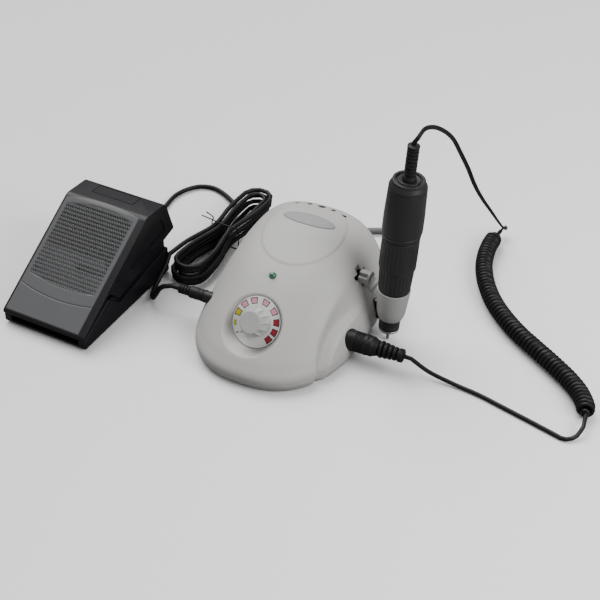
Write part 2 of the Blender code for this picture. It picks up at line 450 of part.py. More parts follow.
def build_box(origin):
    shell_look = material("box plastic", WARM_WHITE, 0.42)
    top = BOX_H
    shell = solid("upper_shell", body_loft(TRAY_Z1 + GAP, top), shell_look, origin)
    hollow_levels = [row[0] for row in BODY_SHARES][::3]
    hollow = solid("shell_hollow", body_loft(TRAY_Z1 - OVERRUN, top, inset=WALL, top_inset=WALL, levels=hollow_levels, count=HOLLOW_POINTS), parent=origin)

    # Well for the speed dial, carried inside the shell as a cup
    facing = (math.pi / 2 - DIAL_ELEVATION, 0, 0)
    dial = place("dial_axis", None, None, origin, (DIAL_X, DIAL_Y, DIAL_Z), facing)
    floor_low = -PLATE_T - GAP - WELL_WALL
    boss = solid("well_boss", turned([(0, floor_low), (WELL_FLOOR_R + WELL_WALL, floor_low), (WELL_RIM_R + WELL_WALL, WELL_RIM_UP), (WELL_RIM_R + WELL_WALL, WELL_RIM_UP * 3), (0, WELL_RIM_UP * 3)], STEPS_BIG), parent=dial)
    boolean(hollow, boss)
    posts = []
    for i, (sx, y) in enumerate(((-1, FOOT_FRONT_Y), (1, FOOT_FRONT_Y), (-1, FOOT_BACK_Y), (1, FOOT_BACK_Y))):
        post = solid(f"shell_post_{i}", rod(POST_R, TRAY_Z1 + 2 * GAP, BOX_H, STEPS_INNER), parent=origin, at=(sx * FOOT_X, y, 0))
        boolean(hollow, post)
        posts.append((sx * FOOT_X, y))
    boolean(shell, hollow)
    well = solid("well_bore", turned([(0, -PLATE_T - GAP), (WELL_FLOOR_R, -PLATE_T - GAP), (WELL_FLOOR_R, 0), (WELL_RIM_R, WELL_RIM_UP), (WELL_RIM_R, WELL_RIM_UP * 4), (0, WELL_RIM_UP * 4)], STEPS_BIG), parent=dial)
    cuts = [well]
    cuts.append(solid("bush_hole", rod(POT_BUSH_R + GAP, floor_low - OVERRUN, OVERRUN, STEPS_SMALL), parent=dial))

    # Lamp hole, vents, badge recess, cross slot and side sockets
    lamp_turn = (math.pi / 2 - LAMP_ELEVATION, 0, 0)
    lamp = place("lamp_axis", None, None, origin, (LAMP_X, LAMP_Y, surface_height(LAMP_X, LAMP_Y)), lamp_turn)
    cuts.append(solid("lamp_hole", rod(LAMP_R + GAP, -LAMP_LENGTH, LAMP_LENGTH, STEPS_INNER), parent=lamp))
    for i in range(VENT_COUNT):
        k = i - (VENT_COUNT - 1) / 2
        y = VENT_Y - VENT_SAG * (k / ((VENT_COUNT - 1) / 2)) ** 2
        r = VENT_MID_R if k == 0 else VENT_R
        stretch = 1.5 if k == 0 else 1.2
        cuts.append(solid(f"vent_{i}", prism(ellipse(k * VENT_PITCH, y, r * stretch, r, 8), BOX_H * VENT_FLOOR_SHARE, BOX_H + OVERRUN, upright), parent=origin))
    cuts.append(solid("badge_recess", dome_disc(0, BADGE_Y, BADGE_HALF_X + GAP, BADGE_HALF_Y + GAP, -BADGE_SINK - GAP, BADGE_RISE + OVERRUN), parent=origin))
    solid("badge_plate", dome_disc(0, BADGE_Y, BADGE_HALF_X, BADGE_HALF_Y, -BADGE_SINK, BADGE_RISE), material("badge grey", BADGE_GREY, 0.35, 0.3), origin)
    for name, long, tall in (("slot_flat", CROSS_LONG, CROSS_T), ("slot_tall", CROSS_T, CROSS_LONG)):
        cuts.append(solid(name, block((OVERRUN * 4, long + 2 * CROSS_CLEAR, tall + 2 * CROSS_CLEAR), (PEG_X, PEG_Y, PEG_Z)), parent=origin))
    side = (0, math.pi / 2, 0)
    socket = place("socket_axis", None, None, origin, (SOCKET_FACE_X, SOCKET_Y, SOCKET_Z), side)
    cuts.append(solid("socket_spot", rod(SOCKET_R + GAP, -SOCKET_LIP - GAP, OVERRUN * 2, STEPS), parent=socket))
    cuts.append(solid("socket_hole", rod(SOCKET_BODY_R + GAP, -SOCKET_DEPTH - OVERRUN, OVERRUN, STEPS), parent=socket))
    switch_cut = solid("switch_window", block((SWITCH_DEEP * 2, SWITCH_LONG - 2 * SWITCH_EDGE + 2 * GAP, SWITCH_TALL - 2 * SWITCH_EDGE + 2 * GAP), (SWITCH_FACE_X, SWITCH_Y, SWITCH_Z)), parent=origin)
    cuts.append(switch_cut)
    switch_spot = solid("switch_spot", block((SWITCH_LIP * 2, SWITCH_LONG + 2 * GAP, SWITCH_TALL + 2 * GAP), (SWITCH_FACE_X, SWITCH_Y, SWITCH_Z)), parent=origin)
    cuts.append(switch_spot)
    jack = place("jack_axis", None, None, origin, (-JACK_FACE_X, JACK_Y, JACK_Z), (0, -math.pi / 2, 0))
    cuts.append(solid("jack_spot", rod(JACK_R + GAP, -JACK_LIP - GAP, OVERRUN * 2, STEPS), parent=jack))
    cuts.append(solid("jack_hole", rod(JACK_BORE_R + WELL_WALL / 2 + GAP, -JACK_DEPTH - OVERRUN, OVERRUN, STEPS), parent=jack))
    rear_y = BOX_FRONT_Y + body_values(GLAND_Z / BOX_H)[2] * BOX_D
    gland = place("gland_axis", None, None, origin, (GLAND_X, rear_y, GLAND_Z), (-math.pi / 2, 0, 0))
    cuts.append(solid("gland_hole", rod(GLAND_R + GAP, -OVERRUN * 3, OVERRUN, STEPS_SMALL), parent=gland))
    cuts.append(solid("gland_spot", rod(GLAND_FLANGE_R + GAP, -GAP * 4, OVERRUN, STEPS_SMALL), parent=gland))
    boolean_all(shell, cuts, "shell_openings")

    # Tray with its floor, rim and posts
    tray = solid("base_tray", lofted([body_ring(z) for z in (TRAY_Z0, TRAY_Z0 + FINE_BEVEL * 3, TRAY_Z1)]), shell_look, origin)
    tray_hollow = solid("tray_hollow", lofted([body_ring(z, WALL, HOLLOW_POINTS) for z in (TRAY_Z0 + TRAY_FLOOR, TRAY_Z1 + OVERRUN)]), parent=origin)
    for i, (x, y) in enumerate(posts):
        boolean(tray_hollow, solid(f"tray_post_{i}", rod(POST_R, TRAY_Z0, TRAY_Z1, STEPS_INNER), parent=origin, at=(x, y, 0)))
    for i, (sx, sy) in enumerate(((-1, -1), (1, -1), (-1, 1), (1, 1))):
        at = (sx * (BOARD_W / 2 - POST_R), BOARD_Y + sy * (BOARD_D / 2 - POST_R), 0)
        boolean(tray_hollow, solid(f"board_post_{i}", rod(POST_R, TRAY_Z0, TRAY_Z1, STEPS_INNER), parent=origin, at=at))
    boolean(tray, tray_hollow)
    for i, (x, y) in enumerate(posts):
        boolean(tray, solid(f"foot_seat_{i}", rod(FOOT_R + GAP, -OVERRUN, TRAY_Z0 + FOOT_DEEP, STEPS_SMALL), parent=origin, at=(x, y, 0)))
        solid(("foot_front_left", "foot_front_right", "foot_back_left", "foot_back_right")[i], rod(FOOT_R, 0, FOOT_H, STEPS_SMALL, FINE_BEVEL), material("foot rubber", SOFT_BLACK, 0.85), origin, (x, y, 0))

    # Dial plate, knob, potentiometer
    solid("dial_plate", tube_ring(PLATE_R, PLATE_HOLE_R, -PLATE_T, 0, STEPS_BIG), material("dial white", (0.80, 0.80, 0.79), 0.35), dial)
    build_knob(dial)
    pot_top = floor_low - GAP
    pot = solid("potentiometer", turned([(POT_SHAFT_R + GAP, pot_top - POT_BODY_H + SHAFT_TAIL), (POT_SHAFT_R + GAP, pot_top + POT_BUSH_H), (POT_BUSH_R, pot_top + POT_BUSH_H), (POT_BUSH_R, pot_top), (POT_BODY_R, pot_top), (POT_BODY_R, pot_top - POT_BODY_H), (POT_SHAFT_R / 2, pot_top - POT_BODY_H), (POT_SHAFT_R / 2, pot_top - POT_BODY_H + SHAFT_TAIL)], STEPS_SMALL), material("metal can", STEEL, 0.35, 0.9), dial)
    solid("pot_shaft", rod(POT_SHAFT_R, pot_top - POT_BODY_H + SHAFT_TAIL + GAP, KNOB_LIFT + KNOB_BORE_DEPTH - GAP, STEPS), material("brass", BRASS, 0.35, 0.9), dial)
    solid("led_lens", turned([(0, -LAMP_LENGTH / 2), (LAMP_R, -LAMP_LENGTH / 2), (LAMP_R, LAMP_PROUD - LAMP_LIP), (LAMP_R * 0.85, LAMP_PROUD), (LAMP_R * 0.5, LAMP_PROUD + LAMP_LIP * 0.8), (0, LAMP_PROUD + LAMP_LIP)], STEPS_INNER), material("lamp green", LAMP_GREEN, 0.15), lamp)

    # Sockets, switch, gland
    solid("motor_socket", turned([(0, -SOCKET_DEPTH), (SOCKET_BODY_R, -SOCKET_DEPTH), (SOCKET_BODY_R, -SOCKET_LIP), (SOCKET_R, -SOCKET_LIP), (SOCKET_R, 0), (SOCKET_PLUG_BORE_R, 0), (SOCKET_PLUG_BORE_R, -SOCKET_PLUG_DEEP), (0, -SOCKET_PLUG_DEEP)], STEPS), material("socket black", BLACK, 0.4), socket)
    solid("pedal_socket", turned([(0, -JACK_DEPTH), (JACK_BORE_R + WELL_WALL / 2, -JACK_DEPTH), (JACK_BORE_R + WELL_WALL / 2, -JACK_LIP), (JACK_R, -JACK_LIP), (JACK_R, 0), (JACK_BORE_R, 0), (JACK_BORE_R, -JACK_DEPTH + JACK_LIP), (0, -JACK_DEPTH + JACK_LIP)], STEPS), material("socket black", BLACK, 0.4), jack)
    frame = solid("switch_frame", block((SWITCH_LIP + SWITCH_DEEP, SWITCH_LONG, SWITCH_TALL), (SWITCH_FACE_X - (SWITCH_DEEP - SWITCH_LIP) / 2, SWITCH_Y, SWITCH_Z)), material("switch black", BLACK, 0.3), origin)
    frame_body = solid("frame_body", block((SWITCH_DEEP * 3, SWITCH_LONG - 2 * SWITCH_EDGE, SWITCH_TALL - 2 * SWITCH_EDGE), (SWITCH_FACE_X, SWITCH_Y, SWITCH_Z)), parent=origin)
    frame_lip = solid("frame_lip", block((SWITCH_LIP * 2 - 2 * GAP, SWITCH_LONG * 2, SWITCH_TALL * 2), (SWITCH_FACE_X, SWITCH_Y, SWITCH_Z)), parent=origin)
    boolean(frame_body, frame_lip, "UNION")
    boolean(frame, frame_body, "INTERSECT")
    build_rocker(origin, frame)
    solid("mains_gland", turned([(0, -GLAND_IN), (GLAND_R, -GLAND_IN), (GLAND_R, 0), (GLAND_FLANGE_R, 0), (GLAND_FLANGE_R, GLAND_FLANGE)] + ribbed(GLAND_R + GLAND_GROOVE / 2, GLAND_R, GLAND_GROOVE, GLAND_FLANGE, GLAND_OUT, GLAND_RIBS) + [(0, GLAND_OUT)], STEPS_SMALL), material("relief black", BLACK, 0.55), gland)

    # Inside: board, transformer and heat sink
    board_low = TRAY_Z1 + GAP
    solid("circuit_board", block((BOARD_W, BOARD_D, BOARD_T), (0, BOARD_Y, board_low + BOARD_T / 2)), material("board", BOARD_GREEN, 0.5), origin)
    tray_floor = TRAY_Z0 + TRAY_FLOOR + GAP
    core = solid("transformer_core", block((CORE_W, CORE_D, CORE_H), (CORE_X, CORE_Y, tray_floor + CORE_H / 2)), material("core", (0.20, 0.20, 0.21), 0.5, 0.7), origin)
    boolean(core, solid("core_window", block((COIL_W + 2 * GAP, COIL_D * 2, COIL_H + 2 * GAP), (CORE_X, CORE_Y, tray_floor + CORE_H / 2)), parent=origin))
    rounded(solid("transformer_winding", block((COIL_W, COIL_D, COIL_H), (CORE_X, CORE_Y, tray_floor + CORE_H / 2)), material("copper", COPPER, 0.4, 0.8), origin), FINE_BEVEL * 2)
    build_sink(origin, board_low + BOARD_T + GAP)


def build_knob(dial):
    levels = ((0.0, 1.0, 0.4), (0.10, 1.0, 1.0), (0.72, 0.5, 1.0), (0.90, 0.1, 0.8), (1.0, 0.0, 0.15))
    count = KNOB_FLUTES * KNOB_POINTS_PER_FLUTE
    rings = []
    for share, wide, deep in levels:
        ring = []
        for i in range(count):
            a = math.tau * i / count
            dent = KNOB_FLUTE_DEPTH * deep * (0.5 - 0.5 * math.cos(KNOB_FLUTES * a)) ** 2
            r = KNOB_TOP_R + (KNOB_SKIRT_R - KNOB_TOP_R) * wide - dent - (KNOB_ROUND if share == 1.0 else 0)
            ring.append((r * math.cos(a), r * math.sin(a), KNOB_LIFT + KNOB_H * share))
        rings.append(ring)
    rings.append([(x * 0.9, y * 0.9, z - KNOB_DISH) for x, y, z in rings[-1]])
    knob = solid("speed_knob", lofted(rings), material("knob grey", KNOB_GREY, 0.38), dial, turn=(0, 0, KNOB_REST))
    boolean(knob, solid("knob_bore", rod(POT_SHAFT_R + GAP, -OVERRUN, KNOB_LIFT + KNOB_BORE_DEPTH, STEPS), parent=dial))
    mark = block((KNOB_TOP_R * 0.6, KNOB_MARK_W, KNOB_MARK_D * 2), (KNOB_TOP_R * 0.7, 0, KNOB_LIFT + KNOB_H))
    boolean(knob, solid("knob_mark", mark, parent=dial, turn=(0, 0, KNOB_REST)))


def build_rocker(origin, frame):
    """Two flat paddles that meet at the middle, on a round belly that turns in the frame."""
    half_long = SWITCH_LONG / 2 - SWITCH_EDGE * 1.6
    half_tall = SWITCH_TALL / 2 - SWITCH_EDGE * 1.6
    face = SWITCH_FACE_X + SWITCH_LIP
    hinge_x = face - ROCKER_ROUND_R / 2
    opening = solid("rocker_opening", block((ROCKER_ROUND_R * 3, 2 * half_long + SWITCH_EDGE, 2 * half_tall + SWITCH_EDGE / 2), (face, SWITCH_Y, SWITCH_Z)), parent=origin)
    boolean(frame, opening)
    rise = math.tan(ROCKER_TILT) * half_long
    low = -ROCKER_ROUND_R * 0.75
    outline = [(-half_long, rise + ROCKER_PROUD), (0, ROCKER_PROUD), (half_long, rise + ROCKER_PROUD), (half_long * 0.92, low * 0.15), (half_long * 0.6, low), (-half_long * 0.6, low), (-half_long * 0.92, low * 0.15)]
    bm = prism(outline, -half_tall, half_tall, lambda u, v, w: (v, u, w))
    rocker = solid("power_rocker", bm, material("switch black", BLACK, 0.3), origin, (hinge_x, SWITCH_Y, SWITCH_Z), (0, 0, ROCKER_TILT))
    rounded(rocker, FINE_BEVEL)


def build_sink(origin, z):
    pitch = (SINK_W - SINK_FIN_T) / (SINK_FINS - 1)
    half = SINK_W / 2
    outline = [(-half, 0), (half, 0)]
    for i in range(SINK_FINS - 1, -1, -1):
        right = -half + i * pitch + SINK_FIN_T
        left = right - SINK_FIN_T
        outline += [(right, SINK_FIN_T), (right, SINK_D), (left, SINK_D), (left, SINK_FIN_T)]
    outline = [p for i, p in enumerate(outline) if i == 0 or p != outline[i - 1]]
    outline = [outline[0], outline[1]] + outline[3:-1]
    bm = prism(outline, z, z + SINK_H, lambda u, v, w: (u, SINK_Y - v, w))
    solid("heat_sink", bm, material("alloy", (0.55, 0.55, 0.56), 0.4, 0.9), origin)


def grip_profile(clear):
    return [(GRIP_LOW_R + clear, GRIP_LOW), (GRIP_MID_R + clear, GRIP_MID), (GRIP_SEAT_R + clear, GRIP_SEAT)]


def fluted(r, bore, low, high, flutes, depth, edge):
    """Turned sleeve with shallow lengthwise flutes."""
    count = flutes * 4
    def ring(radius, z, cut):
        return [((radius - cut * (i % 4 in (1, 2))) * math.cos(math.tau * i / count), (radius - cut * (i % 4 in (1, 2))) * math.sin(math.tau * i / count), z) for i in range(count)]
    return lofted([ring(r - depth, low, 0), ring(r, low + edge, depth), ring(r, high - edge, depth), ring(r - depth, high, 0)])


def build_handpiece(origin):
    axis = place("handpiece_axis", None, None, origin, TIP, (LEAN_BACK, LEAN_RIGHT, 0))
    black, steel = material("handpiece black", SOFT_BLACK, 0.45), material("steel", STEEL, 0.28, 1.0)
    dark = material("magnet", MAGNET_GREY, 0.5, 0.5)
    solid("bur_blank", rod(PIN_R, 0, PIN_TOP, STEPS_SMALL, PIN_R / 4), steel, axis)
    solid("nose_cap", turned([(NOSE_BORE_R, NOSE_LOW), (NOSE_LOW_R, NOSE_LOW), (NOSE_STEP_R, NOSE_STEP), (NOSE_HIGH_R, NOSE_STEP + NOSE_EDGE), (NOSE_HIGH_R, NOSE_HIGH), (NOSE_SPIGOT_R, NOSE_HIGH), (NOSE_SPIGOT_R, NOSE_SPIGOT_TOP), (NOSE_BORE_R, NOSE_SPIGOT_TOP)]), steel, axis)
    solid("nose_ring", tube_ring(RING_R, RING_BORE_R, RING_LOW, RING_HIGH, STEPS, RING_CHAMFER), black, axis)
    grip = grip_profile(0) + [(GRIP_R - GRIP_ROUND, GRIP_SEAT), (GRIP_R, GRIP_SEAT + GRIP_ROUND), (GRIP_TOP_R, GRIP_TOP), (SLEEVE_R, GRIP_TOP), (SLEEVE_R, SLEEVE_TOP), (SLEEVE_BORE_R, SLEEVE_TOP), (SLEEVE_BORE_R, GRIP_TOP), (GRIP_BORE_R, GRIP_TOP - GRIP_ROUND * 2), (GRIP_BORE_R, GRIP_LOW)]
    solid("front_grip", turned(grip, STEPS_BIG), black, axis)
    lock = solid("lock_ring", fluted(LOCK_R, LOCK_BORE_R, LOCK_LOW, LOCK_HIGH, LOCK_FLUTES, LOCK_FLUTE_DEPTH, LOCK_EDGE), black, axis)
    boolean(lock, solid("lock_bore", rod(LOCK_BORE_R, LOCK_LOW - OVERRUN, LOCK_HIGH + OVERRUN, STEPS_BIG), parent=axis))
    housing = [(BODY_LOW_R - FINE_BEVEL, BODY_LOW), (BODY_LOW_R, BODY_LOW + FINE_BEVEL), (BODY_WIDE_R - FINE_BEVEL / 2, (BODY_LOW + BODY_WIDE * 2) / 3), (BODY_WIDE_R, BODY_WIDE), (BODY_WIDE_R, BODY_WIDE * 0.7 + BODY_HIGH * 0.3), (BODY_HIGH_R, BODY_HIGH), (BODY_BORE_R, BODY_HIGH), (BODY_BORE_R, BODY_LOW + BODY_FLOOR), (SHAFT_R * 2, BODY_LOW + BODY_FLOOR), (SHAFT_R * 2, BODY_LOW)]
    solid("motor_housing", turned(housing, STEPS_BIG), black, axis)
    cap = [(0, CAP_LOW - CAP_SPIGOT), (CAP_SPIGOT_R, CAP_LOW - CAP_SPIGOT), (CAP_SPIGOT_R, CAP_LOW), (CAP_R, CAP_LOW), (CAP_R, CAP_LOW + CAP_CHAMFER), (CAP_TOP_R, CAP_HIGH - CAP_CHAMFER), (CAP_TOP_R, CAP_HIGH), (CAP_GROOVE_R, CAP_HIGH), (CAP_GROOVE_R, CAP_HIGH - CAP_GROOVE), (CAP_INNER_R, CAP_HIGH - CAP_GROOVE), (CAP_INNER_R, CAP_HIGH), (0, CAP_HIGH)]
    solid("rear_cap", turned(cap, STEPS_BIG), black, axis)
    low = CAP_HIGH + GAP
    relief = [(0, low), (RELIEF_CORE_R + FINE_BEVEL, low)] + ribbed(RELIEF_R, RELIEF_R, RELIEF_R - RELIEF_CORE_R, low + FINE_BEVEL, RELIEF_TOP - RELIEF_FLANGE, RELIEF_RIBS) + [(RELIEF_FLANGE_R, RELIEF_TOP - RELIEF_FLANGE), (RELIEF_FLANGE_R, RELIEF_TOP - FINE_BEVEL), (RELIEF_CORE_R, RELIEF_TOP), (0, RELIEF_TOP)]
    solid("handpiece_cord_relief", turned(relief, STEPS_SMALL), material("relief black", BLACK, 0.55), axis)
    solid("stator_magnets", tube_ring(MAGNET_R, MAGNET_BORE_R, MAGNET_LOW, MAGNET_HIGH, STEPS), dark, axis)
    build_armature(axis)
    solid("commutator", tube_ring(COMM_R, SHAFT_R + GAP, COMM_LOW, COMM_HIGH, STEPS_INNER), material("copper", COPPER, 0.4, 0.8), axis)
    solid("motor_shaft", rod(SHAFT_R, SHAFT_LOW, SHAFT_HIGH, STEPS_INNER, FINE_BEVEL), steel, axis)
    holder = solid("brush_holder", tube_ring(HOLDER_R, SHAFT_R + GAP, HOLDER_LOW, HOLDER_HIGH, STEPS_SMALL), material("board", BOARD_GREEN, 0.5), axis)
    for name, side in (("brush_left", -1), ("brush_right", 1)):
        reach = COMM_R + GAP
        arm = solid(name + "_block", block((HOLDER_R * 0.75 - reach, BRUSH_W, HOLDER_LOW - COMM_LOW), (side * (HOLDER_R * 0.75 + reach) / 2, 0, (HOLDER_LOW + COMM_LOW) / 2 + FINE_BEVEL)), parent=axis)
        boolean(holder, arm, "UNION")
    solid("nose_bearing", tube_ring(BEARING_R, SPINDLE_R + GAP, BEARING_LOW, BEARING_LOW + BEARING_H, STEPS_SMALL), steel, axis)
    solid("spindle", tube_ring(SPINDLE_R, SPINDLE_BORE_R, SPINDLE_LOW, SPINDLE_HIGH, STEPS_INNER), steel, axis)
    collet = solid("collet", tube_ring(COLLET_R + GAP / 2, COLLET_BORE_R, COLLET_LOW, COLLET_HIGH, STEPS_INNER), material("brass", BRASS, 0.35, 0.9), axis)
    boolean(collet, solid("collet_slot", block((COLLET_R * 4, COLLET_SLOT, (COLLET_HIGH - COLLET_LOW)), (0, 0, COLLET_LOW)), parent=axis))

    # Cradle that holds the handpiece
    cup = [(r + CUP_WALL, z) for r, z in grip_profile(CUP_CLEAR)]
    mouth_r = RING_R + CUP_RING_CLEAR
    mouth_z = GRIP_LOW + (mouth_r - GRIP_LOW_R - CUP_CLEAR) * (GRIP_MID - GRIP_LOW) / (GRIP_MID_R - GRIP_LOW_R)
    outer = [(0, CUP_LOW), (mouth_r + CUP_LIP, CUP_LOW), (cup[1][0], GRIP_MID), (cup[2][0], GRIP_SEAT - GAP), (0, GRIP_SEAT - GAP)]
    cradle = solid("cradle", turned(outer, STEPS), material("cradle grey", CUP_GREY, 0.4), axis)
    foot = Vector((PEG_X, PEG_Y, PEG_Z))
    turn = Matrix.Rotation(LEAN_RIGHT, 3, "Y") @ Matrix.Rotation(LEAN_BACK, 3, "X")
    goal = TIP + turn @ Vector((0, 0, ARM_HEIGHT))
    reach = goal - foot
    arm_turn = reach.to_track_quat("Z", "Y").to_euler()
    arm = solid("cradle_arm", turned([(0, OVERRUN / 2), (ARM_PEG_R, OVERRUN / 2), (ARM_PEG_R, reach.length * ARM_SHARES[0]), (ARM_CUP_R, reach.length * ARM_SHARES[1]), (ARM_PEG_R, reach.length), (0, reach.length)], STEPS), parent=origin, at=foot, turn=arm_turn)
    boolean(cradle, arm, "UNION")
    boolean(cradle, solid("collar", rod(COLLAR_R, OVERRUN / 2 + COLLAR_OUT, OVERRUN / 2 + COLLAR_OUT + COLLAR_T, STEPS), parent=origin, at=foot, turn=(0, math.pi / 2, 0)), "UNION")
    peg_out = COLLAR_OUT + COLLAR_T / 2
    for name, long, tall, deep in (("peg_flat", CROSS_PEG_LONG, CROSS_T, CROSS_IN), ("peg_tall", CROSS_T - FINE_BEVEL / 2, CROSS_PEG_LONG, CROSS_IN - FINE_BEVEL)):
        boolean(cradle, solid(name, block((deep + peg_out, long, tall), (PEG_X + (OVERRUN + peg_out - deep) / 2, PEG_Y, PEG_Z)), parent=origin), "UNION")
    bore = [(0, GRIP_LOW - OVERRUN), (mouth_r, GRIP_LOW - OVERRUN), (mouth_r, mouth_z)] + grip_profile(CUP_CLEAR)[1:] + [(GRIP_SEAT_R + CUP_CLEAR, GRIP_SEAT + OVERRUN), (0, GRIP_SEAT + OVERRUN)]
    boolean(cradle, solid("cup_bore", turned(bore, STEPS), parent=axis))
    return axis


def build_armature(axis):
    count = ROTOR_SLOTS * 4
    def ring(z):
        return [((ROTOR_R - ROTOR_SLOT_DEPTH * (i % 4 == 3)) * math.cos(math.tau * i / count), (ROTOR_R - ROTOR_SLOT_DEPTH * (i % 4 == 3)) * math.sin(math.tau * i / count), z) for i in range(count)]
    armature = solid("armature", lofted([ring(ROTOR_LOW), ring(ROTOR_HIGH)]), material("core", (0.20, 0.20, 0.21), 0.5, 0.7), axis)
    boolean(armature, solid("armature_bore", rod(SHAFT_R + GAP, ROTOR_LOW - OVERRUN, ROTOR_HIGH + OVERRUN, STEPS_INNER), parent=axis))


def slope_height(y):
    """Height of the treadle's top face along the ramp."""
    return LIP_Z + (y - LIP_Y) * (CREST_Z - LIP_Z) / (CREST_Y - LIP_Y)


